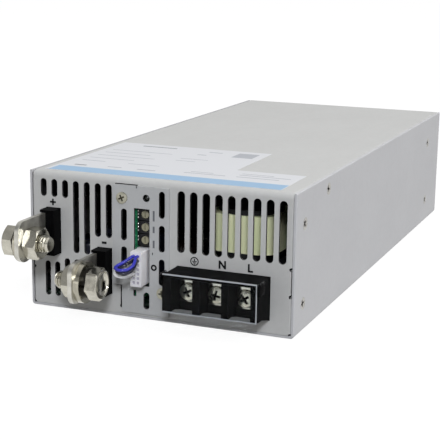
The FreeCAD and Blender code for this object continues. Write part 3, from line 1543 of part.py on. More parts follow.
make_chassis()
make_front_top_cover()
make_control_plate()
make_rear_panel()
make_case_screws()
make_control_plate_screws()
make_rating_label()
for terminal_name, terminal_place in terminals.items():
    make_busbar(terminal_name, terminal_place)
    make_insulator(terminal_name, terminal_place)
    make_fasteners(terminal_name, terminal_place)
make_terminal_block()
make_terminal_contacts()
make_terminal_cover()
make_control_board()
make_trimmers()
make_connector()
make_jumpers()
make_lamp()
make_main_board()
make_input_parts()
make_power_parts()
make_transformer()
make_output_parts()
for fan_name, fan_middle in fan_x.items():
    make_fan(f"{fan_name}_fan", fan_middle)
make_fan_screws()

doc.recompute()
failed = [item.Name for item in doc.Objects if "Invalid" in item.State or "Error" in item.State]
if failed:
    raise SystemExit(f"not built: {failed}")
for item in nodes:
    if item.Shape.isNull() or not item.Shape.isValid() or not item.Shape.Solids:
        raise SystemExit(f"no valid solid: {item.Label}")
os.makedirs("parts", exist_ok=True)
for item in nodes:
    item.Shape.exportStep(f"parts/{item.Label}.step")
print(len(nodes), "sub-parts written")
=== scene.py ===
import math

import bmesh
import bpy
from mathutils import Matrix, Vector


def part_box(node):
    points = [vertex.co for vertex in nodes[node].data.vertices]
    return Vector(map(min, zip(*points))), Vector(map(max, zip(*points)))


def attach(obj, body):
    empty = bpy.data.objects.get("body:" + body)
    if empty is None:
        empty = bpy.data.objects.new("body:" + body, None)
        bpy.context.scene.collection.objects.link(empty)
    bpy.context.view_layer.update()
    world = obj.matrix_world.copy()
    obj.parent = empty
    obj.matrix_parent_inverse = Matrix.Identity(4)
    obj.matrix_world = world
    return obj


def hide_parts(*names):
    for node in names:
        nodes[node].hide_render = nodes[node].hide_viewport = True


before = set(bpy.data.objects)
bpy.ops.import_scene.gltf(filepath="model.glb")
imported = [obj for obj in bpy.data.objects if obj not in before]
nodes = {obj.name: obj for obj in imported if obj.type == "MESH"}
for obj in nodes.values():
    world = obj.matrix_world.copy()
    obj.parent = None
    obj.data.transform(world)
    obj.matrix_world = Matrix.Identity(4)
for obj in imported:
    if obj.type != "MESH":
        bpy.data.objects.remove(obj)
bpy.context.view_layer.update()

mm = 0.001
weld = 1e-7  # metres; a spun mesh has its doubles merged within this


def linear(*screen):
    # screen colour 0..255 to the linear value that a shader wants
    return tuple(((c / 255 + 0.055) / 1.055) ** 2.4 if c > 10 else c / 255 / 12.92 for c in screen)


# finishes
def newFinish(name, color, metallic=0.0, specular=0.5):
    mat = bpy.data.materials.new(name)
    mat.use_nodes = True
    tree = mat.node_tree
    shader = tree.nodes["Principled BSDF"]
    shader.inputs["Base Color"].default_value = (*color, 1)
    shader.inputs["Metallic"].default_value = metallic
    shader.inputs["Specular IOR Level"].default_value = specular
    return mat, tree, shader


def coordsOf(tree, stretch=(1, 1, 1), turn=(0, 0, 0)):
    coords = tree.nodes.new("ShaderNodeTexCoord")
    mapping = tree.nodes.new("ShaderNodeMapping")
    mapping.inputs["Scale"].default_value = stretch
    mapping.inputs["Rotation"].default_value = turn
    tree.links.new(coords.outputs["Object"], mapping.inputs["Vector"])
    return mapping.outputs["Vector"]


def noiseOf(tree, vector, scale, detail=3.0, roughness=0.55):
    noise = tree.nodes.new("ShaderNodeTexNoise")
    noise.inputs["Scale"].default_value = scale
    noise.inputs["Detail"].default_value = detail
    noise.inputs["Roughness"].default_value = roughness
    tree.links.new(vector, noise.inputs["Vector"])
    return noise.outputs["Fac"]


def rangeOf(tree, factor, low, high, fromLow=0.3, fromHigh=0.7):
    # most of a noise lies between 0.3 and 0.7
    span = tree.nodes.new("ShaderNodeMapRange")
    span.inputs["From Min"].default_value = fromLow
    span.inputs["From Max"].default_value = fromHigh
    span.inputs["To Min"].default_value = low
    span.inputs["To Max"].default_value = high
    tree.links.new(factor, span.inputs["Value"])
    return span.outputs["Result"]


def bumpOf(tree, shader, height, strength, depth=0.1):
    # depth in millimetres
    bump = tree.nodes.new("ShaderNodeBump")
    bump.inputs["Strength"].default_value = strength
    bump.inputs["Distance"].default_value = depth * mm
    tree.links.new(height, bump.inputs["Height"])
    tree.links.new(bump.outputs["Normal"], shader.inputs["Normal"])


def shades(color, spread):
    return tuple(c * (1 - spread) for c in color), tuple(min(1.0, c * (1 + spread)) for c in color)


def twoTone(tree, factor, color, spread, places=(0.3, 0.7)):
    # from the colour's darker shade to its lighter one
    ramp = tree.nodes.new("ShaderNodeValToRGB")
    for stop, place, shade in zip(ramp.color_ramp.elements, places, shades(color, spread)):
        stop.position, stop.color = place, (*shade, 1)
    tree.links.new(factor, ramp.inputs["Fac"])
    return ramp.outputs["Color"]


def combine(tree, operation, first, second):
    result = tree.nodes.new("ShaderNodeMath")
    result.operation = operation
    tree.links.new(first, result.inputs[0])
    tree.links.new(second, result.inputs[1])
    return result.outputs[0]


def maskOf(tree, ranges):
    # 1 where every named coordinate lies in its range, given in millimetres
    coords = tree.nodes.new("ShaderNodeTexCoord")
    split = tree.nodes.new("ShaderNodeSeparateXYZ")
    tree.links.new(coords.outputs["Object"], split.inputs[0])
    mask = None
    for axis, (low, high) in ranges.items():
        inside = tree.nodes.new("ShaderNodeMath")
        inside.operation = "COMPARE"
        inside.inputs[1].default_value = (low + high) / 2 * mm
        inside.inputs[2].default_value = (high - low) / 2 * mm
        tree.links.new(split.outputs[axis], inside.inputs[0])
        mask = combine(tree, "MULTIPLY", mask, inside.outputs[0]) if mask else inside.outputs[0]
    return mask


def mixOf(tree, factor, first, color):
    # the first colour where the factor is 0, the given one where it is 1
    mix = tree.nodes.new("ShaderNodeMix")
    mix.data_type = "RGBA"
    tree.links.new(factor, mix.inputs["Factor"])
    tree.links.new(first, mix.inputs["A"])
    mix.inputs["B"].default_value = (*color, 1)
    return mix.outputs["Result"]


sheetStyle = {
    "metallic": 0.12, "specular": 0.3, "spread": 0.022, "roughness": (0.42, 0.52), "grain": 0.04,
    "crystals": {"scale": 420, "detail": 5, "roughness": 0.7}, "crystalPlaces": (0.32, 0.68),
    "smear": {"scale": 60, "detail": 4, "roughness": 0.6}, "smearStretch": (1, 0.4, 0.7),
    "lines": {"scale": 1100, "detail": 2}, "cutAndShadeColor": linear(58, 58, 60),
}


def zincSheet(name, color, roll, cutsAndShade=(), metallic=sheetStyle["metallic"], grain=sheetStyle["grain"]):
    # zinc-coated sheet: fine crystals, faint lines along the rolling direction
    mat, tree, shader = newFinish(name, color, metallic, sheetStyle["specular"])
    crystals = noiseOf(tree, coordsOf(tree), **sheetStyle["crystals"])
    surface = twoTone(tree, crystals, color, sheetStyle["spread"], sheetStyle["crystalPlaces"])
    for ranges in cutsAndShade:  # bare steel at punched edges darkened as painted shade, painted shade on inner faces
        surface = mixOf(tree, maskOf(tree, ranges), surface, sheetStyle["cutAndShadeColor"])
    tree.links.new(surface, shader.inputs["Base Color"])
    smear = noiseOf(tree, coordsOf(tree, sheetStyle["smearStretch"]), **sheetStyle["smear"])
    tree.links.new(rangeOf(tree, smear, *sheetStyle["roughness"]), shader.inputs["Roughness"])
    lines = noiseOf(tree, coordsOf(tree, roll), **sheetStyle["lines"])
    bumpOf(tree, shader, lines, grain)
    return mat


platingStyle = {
    "spread": 0.14, "patches": {"scale": 260, "detail": 4}, "patchPlaces": (0.35, 0.65),
    "markScale": 700, "markStretch": (4, 1, 1), "markBump": 0.06,
}


def brightPlating(name, color, roughness, recessShade=None, markScale=platingStyle["markScale"],
                  markBump=platingStyle["markBump"]):
    # nickel, tin or zinc plating with working marks and slightly dull patches; where a recess colour is
    # given, painted shade down in driver recesses
    mat, tree, shader = newFinish(name, color, metallic=1.0)
    patches = noiseOf(tree, coordsOf(tree), **platingStyle["patches"])
    surface = twoTone(tree, patches, color, platingStyle["spread"], platingStyle["patchPlaces"])
    if recessShade:  # painted shade: a darker colour down in the driver recess, growing with depth
        depth = tree.nodes.new("ShaderNodeAttribute")
        depth.attribute_name = "recessShade"
        surface = mixOf(tree, depth.outputs["Fac"], surface, recessShade)
    tree.links.new(surface, shader.inputs["Base Color"])
    tree.links.new(rangeOf(tree, patches, *roughness), shader.inputs["Roughness"])
    scratches = noiseOf(tree, coordsOf(tree, platingStyle["markStretch"]), markScale)
    bumpOf(tree, shader, scratches, markBump)
    return mat


mouldStyle = {"flow": {"scale": 160, "detail": 4}, "dulling": (-0.06, 0.08), "grainDetail": 2}


def moulded(name, color, roughness, spread=0.10, scale=1400, bump=0.08, specular=0.5):
    # moulded plastic: fine spark-eroded texture, faint flow clouds
    mat, tree, shader = newFinish(name, color, specular=specular)
    flow = noiseOf(tree, coordsOf(tree), **mouldStyle["flow"])
    tree.links.new(twoTone(tree, flow, color, spread), shader.inputs["Base Color"])
    low, high = (roughness + step for step in mouldStyle["dulling"])
    tree.links.new(rangeOf(tree, flow, low, high), shader.inputs["Roughness"])
    grain = noiseOf(tree, coordsOf(tree), scale, mouldStyle["grainDetail"])
    bumpOf(tree, shader, grain, bump)
    return mat


milkyStyle = {"moulding": {"roughness": 0.40, "spread": 0.04, "scale": 1100, "bump": 0.05},
              "weight": 0.6, "radius": (1.0, 0.95, 0.9), "depth": 0.9}


def milkyMoulding(name, color):
    # natural nylon: light passes a little way into it, so that small cavities stay pale
    mat = moulded(name, color, **milkyStyle["moulding"])
    shader = mat.node_tree.nodes["Principled BSDF"]
    shader.inputs["Subsurface Weight"].default_value = milkyStyle["weight"]
    shader.inputs["Subsurface Radius"].default_value = milkyStyle["radius"]
    shader.inputs["Subsurface Scale"].default_value = milkyStyle["depth"] * mm
    return mat


clearStyle = {"specular": 0.3, "bending": 1.12, "haze": {"scale": 220, "detail": 4}, "roughness": (0.0, 0.05),
              "waves": {"scale": 90, "detail": 2}, "waveBump": 0.02, "waveDepth": 0.2}


def clearMoulding(name, color):
    # clear polycarbonate with faint waviness
    mat, tree, shader = newFinish(name, color, specular=clearStyle["specular"])
    shader.inputs["Transmission Weight"].default_value = 1.0
    shader.inputs["IOR"].default_value = clearStyle["bending"]
    haze = noiseOf(tree, coordsOf(tree), **clearStyle["haze"])
    tree.links.new(rangeOf(tree, haze, *clearStyle["roughness"]), shader.inputs["Roughness"])
    waves = noiseOf(tree, coordsOf(tree), **clearStyle["waves"])
    bumpOf(tree, shader, waves, clearStyle["waveBump"], clearStyle["waveDepth"])
    return mat


circuitStyle = {"trackScale": 160, "trackWidth": 0.035, "trackBump": 0.15, "spread": 0.25,
                "cloud": {"scale": 300}, "roughness": (0.24, 0.42)}


def circuitMask(name, mask, track):
    # green solder mask with slightly raised, lighter tracks under it
    mat, tree, shader = newFinish(name, mask)
    bricks = tree.nodes.new("ShaderNodeTexBrick")
    bricks.inputs["Scale"].default_value = circuitStyle["trackScale"]
    bricks.inputs["Mortar Size"].default_value = circuitStyle["trackWidth"]
    bricks.inputs["Color1"].default_value = (*mask, 1)
    bricks.inputs["Color2"].default_value = (*shades(mask, circuitStyle["spread"])[0], 1)
    bricks.inputs["Mortar"].default_value = (*track, 1)
    tree.links.new(coordsOf(tree, turn=(0.0, math.pi / 2, 0.0)), bricks.inputs["Vector"])
    tree.links.new(bricks.outputs["Color"], shader.inputs["Base Color"])
    cloud = noiseOf(tree, coordsOf(tree), **circuitStyle["cloud"])
    tree.links.new(rangeOf(tree, cloud, *circuitStyle["roughness"]), shader.inputs["Roughness"])
    bumpOf(tree, shader, bricks.outputs["Fac"], circuitStyle["trackBump"])
    return mat


coilStyle = {"turns": 320, "distortion": 1.5, "spread": 0.45, "turnPlaces": (0.1, 0.8), "turnBump": 0.5,
             "turnDepth": 0.3, "patches": {"scale": 500}, "roughness": (0.2, 0.4)}


def woundWire(name, color):
    # enamelled wire lying side by side, read as fine bands: darker between the turns as painted shade,
    # lighter along them as painted highlight
    mat, tree, shader = newFinish(name, color)
    wave = tree.nodes.new("ShaderNodeTexWave")
    wave.inputs["Scale"].default_value = coilStyle["turns"]
    wave.inputs["Distortion"].default_value = coilStyle["distortion"]
    tree.links.new(coordsOf(tree), wave.inputs["Vector"])
    turns = wave.outputs["Fac"]
    shadedTurns = twoTone(tree, turns, color, coilStyle["spread"], coilStyle["turnPlaces"])
    tree.links.new(shadedTurns, shader.inputs["Base Color"])
    patches = noiseOf(tree, coordsOf(tree), **coilStyle["patches"])
    tree.links.new(rangeOf(tree, patches, *coilStyle["roughness"]), shader.inputs["Roughness"])
    bumpOf(tree, shader, turns, coilStyle["turnBump"], coilStyle["turnDepth"])
    return mat


tapeStyle = {"specular": 0.3, "spread": 0.10, "streaks": {"scale": 150}, "streakStretch": (1, 1, 0.12),
             "creases": {"scale": 350, "detail": 4}, "creaseStretch": (1, 1, 3), "creaseBump": 0.12,
             "creaseDepth": 0.3, "roughness": (0.24, 0.44)}


def wrappedTape(name, color):
    # polyester tape wound over the coil: soft upright streaks where the layers lie, fine creases
    mat, tree, shader = newFinish(name, color, specular=tapeStyle["specular"])
    streaks = noiseOf(tree, coordsOf(tree, tapeStyle["streakStretch"]), **tapeStyle["streaks"])
    tree.links.new(twoTone(tree, streaks, color, tapeStyle["spread"]), shader.inputs["Base Color"])
    creases = noiseOf(tree, coordsOf(tree, tapeStyle["creaseStretch"]), **tapeStyle["creases"])
    tree.links.new(rangeOf(tree, creases, *tapeStyle["roughness"]), shader.inputs["Roughness"])
    bumpOf(tree, shader, creases, tapeStyle["creaseBump"], tapeStyle["creaseDepth"])
    return mat


inkStyle = {"specular": 0.3, "cover": {"scale": 1500}, "dulling": (-0.08, 0.08)}


def inkFilm(name, color, roughness, spread=0.12):
    # printed ink: slightly uneven cover over the surface below
    mat, tree, shader = newFinish(name, color, specular=inkStyle["specular"])
    cover = noiseOf(tree, coordsOf(tree), **inkStyle["cover"])
    tree.links.new(twoTone(tree, cover, color, spread), shader.inputs["Base Color"])
    low, high = (roughness + step for step in inkStyle["dulling"])
    tree.links.new(rangeOf(tree, cover, low, high), shader.inputs["Roughness"])
    return mat


# punched edges, within a sheet's thickness, get a dark grey: bare steel darkened further as painted shade;
# the case's inner faces get the same dark grey as painted shade only
sheetCutsAndShade = {
    "cover": [{"X": (-61.5, 61.5), "Y": (-139.96, -138.84), "Z": (2, 60.4)},
              {"X": (-61.1, 61.1), "Y": (-138.7, 139), "Z": (2, 61.7)}],
    "wall": [{"X": (-62.4, 62.4), "Y": (-139.4, 139.4), "Z": (1.15, 61.7)}],
    "rear": [{"X": (-61, 61), "Y": (138.84, 139.96), "Z": (2.5, 60.5)}],
    "plate": [{"X": (-21.2, 5.6), "Y": (-140.77, -140.03), "Z": (2.7, 60)}],
}

finishes = {
    "cover": zincSheet("coverZinc", linear(191, 191, 189), (1, 0.03, 1), sheetCutsAndShade["cover"]),
    "wall": zincSheet("wallZinc", linear(191, 191, 193), (1, 0.03, 1), sheetCutsAndShade["wall"]),
    "rear": zincSheet("rearZinc", linear(188, 188, 188), (0.03, 1, 1), sheetCutsAndShade["rear"]),
    "plate": zincSheet("plateZinc", linear(184, 185, 185), (1, 1, 0.03), sheetCutsAndShade["plate"], grain=0.06),
    "sink": zincSheet("sinkBlack", linear(30, 30, 32), (1, 0.02, 1), metallic=0.3, grain=0.2),
    "bar": brightPlating("tinnedBar", linear(196, 194, 186), (0.34, 0.5)),
    "bolt": brightPlating("boltNickel", linear(188, 185, 173), (0.08, 0.2)),
    "washer": brightPlating("washerNickel", linear(174, 170, 156), (0.1, 0.24)),
    # spring washers: near black as painted shade, for the shadow between the flat washer and the bolt head
    "spring": brightPlating("springSteelPaintedShade", linear(44, 43, 40), (0.3, 0.46)),
    "screw": brightPlating("screwZinc", linear(172, 170, 164), (0.24, 0.4)),
    # the recess colours below are painted shade inside the driver recesses
    "plateScrew": brightPlating("plateScrewZinc", linear(160, 158, 144), (0.24, 0.4),
                                recessShade=linear(66, 64, 54)),
    "caseScrew": brightPlating("caseScrewZinc", linear(172, 170, 164), (0.24, 0.4),
                               recessShade=linear(24, 24, 22)),
    "terminalScrew": brightPlating("terminalScrewNickel", linear(196, 192, 174), (0.2, 0.34),
                                   recessShade=linear(14, 14, 13)),
    "contact": brightPlating("contactNickel", linear(214, 210, 194), (0.05, 0.14)),
    "clamp": brightPlating("clampSteel", linear(96, 94, 86), (0.08, 0.2)),
    "brass": brightPlating("spacerBrass", linear(196, 164, 92), (0.2, 0.35)),
    "solder": brightPlating("solderBright", linear(226, 226, 222), (0.14, 0.26),
                            markScale=900, markBump=0.03),
    "nylon": moulded("blackNylon", linear(7, 7, 8), 0.5, spread=0.25, bump=0.06, specular=0.02),
    "shield": clearMoulding("clearShield", linear(232, 236, 240)),
    # pane edges: frosted grey, partly painted highlight
    "shieldEdge": moulded("shieldEdge", linear(176, 180, 184), 0.38, spread=0.04, scale=900, bump=0.05),
    "board": circuitMask("boardMask", linear(26, 118, 78), linear(64, 150, 106)),
    # main board: green mask darkened near black as painted shade, as it lies in the case's shadow
    "shadedMainBoard": circuitMask("shadedMainBoardMask", linear(5, 20, 13), linear(10, 32, 20)),
    "trimmer": moulded("trimmerBlack", linear(18, 18, 21), 0.4, spread=0.2, specular=0.3),
    "rotor": moulded("rotorBeige", linear(152, 148, 124), 0.4),
    "plug": milkyMoulding("plugNylon", linear(236, 234, 236)),
    "cavity": moulded("cavityShade", linear(182, 178, 190), 0.5, spread=0.05),
    "wire": moulded("wireBlue", linear(46, 48, 168), 0.28, spread=0.12, scale=900, bump=0.04),
    # second jumper wire: blue darkened to navy as painted shade, for its shaded lower run
    "shadedWire": moulded("wireShadedNavy", linear(9, 10, 44), 0.28, spread=0.12, scale=900, bump=0.04),
    "paleWire": moulded("wireWhite", linear(238, 238, 240), 0.32, spread=0.03, scale=900, bump=0.04),
    "lampHolder": moulded("lampBlack", linear(14, 14, 14), 0.5, spread=0.15, scale=900, bump=0.05,
                          specular=0.2),
    "lamp": moulded("lampTint", linear(20, 24, 21), 0.2, spread=0.15, scale=600, bump=0.02, specular=0.4),
    "ferrite": moulded("ferriteBlack", linear(28, 28, 30), 0.6, spread=0.15, scale=700, bump=0.2,
                       specular=0.3),
    "potted": moulded("pottedGrey", linear(26, 27, 29), 0.5, spread=0.12, specular=0.2),
    "fuse": moulded("fuseTube", linear(224, 218, 204), 0.35, spread=0.05, scale=800, bump=0.06),
    "device": moulded("deviceEpoxy", linear(24, 24, 26), 0.5, spread=0.15),
    "sleeve": moulded("canSleeve", linear(26, 28, 40), 0.3, spread=0.12, scale=500, bump=0.03),
    "fan": moulded("fanBlack", linear(26, 26, 28), 0.45, spread=0.15, scale=1200, specular=0.35),
    "tape": wrappedTape("tapeYellow", linear(247, 255, 202)),
    # choke windings: copper darkened near black as painted shade, deep inside the case
    "copperInShade": woundWire("chokeCopperInShade", linear(34, 22, 16)),
    "darkerCopperInShade": woundWire("boostCopperInShade", linear(24, 17, 13)),
    "label": inkFilm("labelFilm", linear(208, 209, 212), 0.40, spread=0.015),
    "ink": inkFilm("markInk", linear(16, 16, 18), 0.6),
    "inkField": inkFilm("fieldInk", linear(104, 106, 110), 0.5),
    "inkBlue": inkFilm("stripeInk", linear(140, 175, 205), 0.42, spread=0.05),
    "inkGrey": inkFilm("lineInk", linear(166, 169, 175), 0.45),
    "inkDark": inkFilm("barInk", linear(122, 125, 131), 0.45),
}

nodeFinish = {
    "chassis": "wall", "front_top_cover": "cover", "rear_panel": "rear", "control_plate": "plate",
    "case_screws": "caseScrew", "control_plate_screws": "plateScrew", "fan_screws": "caseScrew",
    "board_screws": "screw", "rating_label": "label", "positive_busbar": "bar", "negative_busbar": "bar",
    "positive_insulator": "nylon", "negative_insulator": "nylon", "terminal_block": "nylon",
    "positive_bolt": "bolt", "negative_bolt": "bolt", "positive_nut": "bolt", "negative_nut": "bolt",
    "positive_flat_washers": "washer", "negative_flat_washers": "washer",
    "positive_spring_washer": "spring", "negative_spring_washer": "spring",
    "terminal_plates": "contact", "terminal_washers": "clamp", "terminal_screws": "terminalScrew",
    "terminal_cover": "shield", "control_board": "board", "main_board": "shadedMainBoard",
    "trimmer_bodies": "trimmer", "trimmer_rotor_1": "rotor", "trimmer_rotor_2": "rotor",
    "trimmer_rotor_3": "rotor", "signal_header": "plug", "signal_plug": "plug",
    "jumper_wire_1": "wire", "jumper_wire_2": "shadedWire",
    "lamp_holder": "lampHolder", "power_lamp": "lamp", "board_standoffs": "brass",
    "input_choke_core": "ferrite", "transformer_core": "ferrite",
    "input_choke_winding": "tape", "transformer_winding": "tape",
    "filter_capacitors": "potted", "inrush_relay": "potted", "input_fuse": "fuse",
    "bridge_rectifier": "device", "power_transistors": "device", "output_rectifiers": "device",
    "primary_heatsink": "sink", "secondary_heatsink": "sink",
    "boost_choke": "darkerCopperInShade", "output_choke": "copperInShade",
    "bulk_capacitors": "sleeve", "output_capacitors": "sleeve",
    "left_fan_frame": "fan", "right_fan_frame": "fan", "left_fan_rotor": "fan", "right_fan_rotor": "fan",
}
for nodeName, finishName in nodeFinish.items():
    mesh = nodes[nodeName].data
    mesh.materials.clear()
    mesh.materials.append(finishes[finishName])
print("finishes:", len(finishes), "on", len(nodeFinish), "of", len(nodes), "nodes")


def addPiece(name, work, finish, body, sharpAngle=None, turnFaces=True):
    # a finished bmesh becomes a piece that rides on a body
    if turnFaces:
        bmesh.ops.recalc_face_normals(work, faces=work.faces)
    mesh = bpy.data.meshes.new(name)
    work.to_mesh(mesh)
    work.free()
    if sharpAngle:  # edges softer than this are shaded smooth
        for face in mesh.polygons:
            face.use_smooth = True
        mesh.set_sharp_from_angle(angle=math.radians(sharpAngle))
    mesh.materials.append(finishes[finish])
    piece = bpy.data.objects.new(name, mesh)
    bpy.context.scene.collection.objects.link(piece)
    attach(piece, body)
    return piece


def addBlock(work, low, high):
    # a box between two corners given in millimetres
    made = bmesh.ops.create_cube(work, size=1.0)["verts"]
    size = [(h - l) * mm for l, h in zip(low, high)]
    middle = [(h + l) / 2 * mm for l, h in zip(low, high)]
    bmesh.ops.scale(work, verts=made, vec=size)
    bmesh.ops.translate(work, verts=made, vec=middle)


# front marks in ink, a hair proud of the sheet: x and z of the middle, then sizes and pen width
marks = {
    "coverFace": -140.0, "plateFace": -140.8, "film": 0.03, "ringSteps": 32,
    "plus": (-51.8, 49.1, 3.0, 0.9), "minus": (-26.1, 32.9, 2.4, 1.1),
    "neutral": (30.6, 29.1, 3.4, 3.7), "line": (43.5, 29.0, 2.4, 3.7),
    "letterPen": 0.85, "slantInset": 0.3,
    "earth": (17.6, 29.2, 1.75, 0.5), "earthStem": 1.2,
    "earthBars": ((0.0, 1.1), (0.6, 0.7), (1.15, 0.35)), "earthBarShare": 0.8,  # drop, half width
    "ring": (-1.4, 24.34, 1.05, 0.8), "tick": (-2.05, 30.58, 1.1, 0.4),
    "fields": [(-1.5, 49.9, 45.2), (-1.5, 42.9, 40.0), (-1.5, 36.6, 33.2)], "fieldPen": 0.9,  # x, high, low
}


def stroke(work, face, start, end, width):
    # a straight ink stroke between two x, z points on an upright face
    run = Vector((end[0] - start[0], 0, end[1] - start[1]))
    made = bmesh.ops.create_cube(work, size=1.0)["verts"]
    bmesh.ops.scale(work, verts=made, vec=(run.length * mm, marks["film"] * mm, width * mm))
    turn = Matrix.Rotation(-math.atan2(run.z, run.x), 4, "Y")
    bmesh.ops.transform(work, verts=made, matrix=turn)
    x, z = (start[0] + end[0]) / 2, (start[1] + end[1]) / 2
    bmesh.ops.translate(work, verts=made, vec=(x * mm, (face - marks["film"] / 2) * mm, z * mm))


def inkRing(work, face, center, radius, width):
    # a flat ring drawn by spinning a short ink section about the mark's middle
    x, z = center[0] * mm, center[1] * mm
    y0, y1 = face * mm, (face - marks["film"]) * mm
    inner, outer = (radius - width / 2) * mm, (radius + width / 2) * mm
    corners = ((inner, y0), (outer, y0), (outer, y1), (inner, y1))
    section = [work.verts.new((x + r, y, z)) for r, y in corners]
    edges = [work.edges.new((section[i], section[(i + 1) % 4])) for i in range(4)]
    bmesh.ops.spin(work, geom=section + edges, cent=(x, y0, z), axis=(0, 1, 0), angle=2 * math.pi,
                   steps=marks["ringSteps"], use_merge=True)
    bmesh.ops.remove_doubles(work, verts=work.verts, dist=weld)


def makeTerminalMarks():
    face, pen = marks["coverFace"], marks["letterPen"]
    work = bmesh.new()
    x, z, span, width = marks["plus"]
    stroke(work, face, (x - span / 2, z), (x + span / 2, z), width)
    stroke(work, face, (x, z - span / 2), (x, z + span / 2), width)
    x, z, span, width = marks["minus"]
    stroke(work, face, (x - span / 2, z), (x + span / 2, z), width)
    x, z, wide, high = marks["neutral"]
    half, rise = (wide - pen) / 2, high / 2
    for side in (-1, 1):
        stroke(work, face, (x + side * half, z - rise), (x + side * half, z + rise), pen)
    inset = marks["slantInset"]
    stroke(work, face, (x - half, z + rise - inset), (x + half, z - rise + inset), pen)
    x, z, wide, high = marks["line"]
    half, rise = (wide - pen) / 2, (high - pen) / 2
    stroke(work, face, (x - half, z - high / 2), (x - half, z + high / 2), pen)
    stroke(work, face, (x - wide / 2, z - rise), (x + wide / 2, z - rise), pen)
    x, z, radius, pen = marks["earth"]
    inkRing(work, face, (x, z), radius, pen)
    stroke(work, face, (x, z + marks["earthStem"]), (x, z), pen)
    for drop, half in marks["earthBars"]:
        stroke(work, face, (x - half, z - drop), (x + half, z - drop), pen * marks["earthBarShare"])
    addPiece("terminalMarks", work, "ink", "case")


def makePlateMarks():
    face = marks["plateFace"]
    work = bmesh.new()
    x, z, radius, pen = marks["ring"]
    inkRing(work, face, (x, z), radius, pen)
    x, z, span, pen = marks["tick"]
    stroke(work, face, (x, z - span / 2), (x, z + span / 2), pen)
    addPiece("plateMarks", work, "ink", "case")
    work = bmesh.new()
    for x, high, low in marks["fields"]:
        stroke(work, face, (x, low), (x, high), marks["fieldPen"])
    addPiece("plateFields", work, "inkField", "case")


makeTerminalMarks()
makePlateMarks()
print("marks drawn")


# label print, all generic: one pale blue stripe, plain line fields and a plain square, as x0, x1, y0, y1
labelPrint = {
    "top": 63.15, "film": 0.02,
    "stripe": [(-56.6, 54.6, -135.1, -124.6)],
    "dark": [(-51.4, -45.4, -120.6, -119.0), (-45.0, -26.5, -60.2, -58.7)],
    "lines": [(-35, -28, -119.4, -118.2), (-20, -11, -119.6, -118.2), (2, 22, -116.8, -115.8),
              (4, 15, -113.4, -112.6), (27, 42, -108.6, -107.8), (27, 51, -112.0, -111.0),
              (27, 47, -116.4, -115.4), (-54, -42, -108, -107), (-54, -31, -100, -99.2),
              (-54, -24, -92, -91.2), (-54, -30, -84, -83.2), (-54, -22, -76, -75.2),
              (-30, -14, -108, -107.2), (-14, -4, -90, -89.2), (-14, 0, -84, -83.2),
              (-10.6, -6, -71.4, -70), (-8, -1, -62.6, -61.2), (6.8, 17.3, -70.5, -58.5)],
}


def makeLabelPrint():
    low, high = labelPrint["top"], labelPrint["top"] + labelPrint["film"]
    for name, key, finish in (("labelBand", "stripe", "inkBlue"), ("labelLines", "lines", "inkGrey"),
                              ("labelBars", "dark", "inkDark")):
        work = bmesh.new()
        for x0, x1, y0, y1 in labelPrint[key]:
            addBlock(work, (x0, y0, low), (x1, y1, high))
        addPiece(name, work, finish, "case")


makeLabelPrint()
print("label printed")


# output bolts with rolled threads, standing for the plain CAD ones
boltStyle = {
    "pitch": 1.25, "crest": 3.95, "root": 3.33, "threadStart": 1.2,
    "crestEnd": 0.16, "rootStart": 0.62, "rootEnd": 0.8,  # along one pitch
    "tip": 0.8, "tipSwell": 0.2, "tipTaper": 0.35,
    "flats": 13.0, "headHeight": 5.2, "rim": 0.25, "chamferAngle": 30,
    "bowl": [(5.6, 0.0), (5.3, 0.6), (4.5, 1.2), (3.2, 1.65), (1.6, 1.9), (0.4, 1.95)],  # radius, depth
    "steps": 72, "sharpAngle": 24, "positiveTurn": -15, "negativeTurn": -12,
}


def spinThread(work, reach):
    # a saw-tooth line spun about the axis, with the head's underside at 0 and the thread along +x
    crest, root, tip = boltStyle["crest"], boltStyle["root"], boltStyle["tip"]
    line = [(0.0, crest)]
    place = boltStyle["threadStart"]
    while place < reach - tip:
        line += [(place, crest), (place + boltStyle["crestEnd"], crest),
                 (place + boltStyle["rootStart"], root), (place + boltStyle["rootEnd"], root)]
        place += boltStyle["pitch"]
    line += [(reach - tip, root + boltStyle["tipSwell"]), (reach, root - boltStyle["tipTaper"])]
    verts = [work.verts.new((x * mm, r * mm, 0)) for x, r in line]
    edges = [work.edges.new(pair) for pair in zip(verts, verts[1:])]
    bmesh.ops.spin(work, geom=verts + edges, cent=(0, 0, 0), axis=(1, 0, 0), angle=2 * math.pi,
                   steps=boltStyle["steps"], use_merge=True)
    bmesh.ops.remove_doubles(work, verts=work.verts, dist=weld)
    rim = [edge for edge in work.edges if edge.is_boundary]
    bmesh.ops.holes_fill(work, edges=rim, sides=0)


def headForms(angle, turn):
    # height and radius of each ring of the hex head at one angle, from its underside to the bowl's middle
    apothem, headHeight, rim = boltStyle["flats"] / 2, boltStyle["headHeight"], boltStyle["rim"]
    sector = (angle - math.radians(turn)) % (math.pi / 3) - math.pi / 6
    hexRadius = apothem / math.cos(sector)
    chamfer = (hexRadius - apothem + rim) * math.tan(math.radians(boltStyle["chamferAngle"]))
    forms = [(0.0, hexRadius), (headHeight - chamfer, hexRadius), (headHeight, apothem - rim)]
    return forms + [(headHeight - depth, radius) for radius, depth in boltStyle["bowl"]]


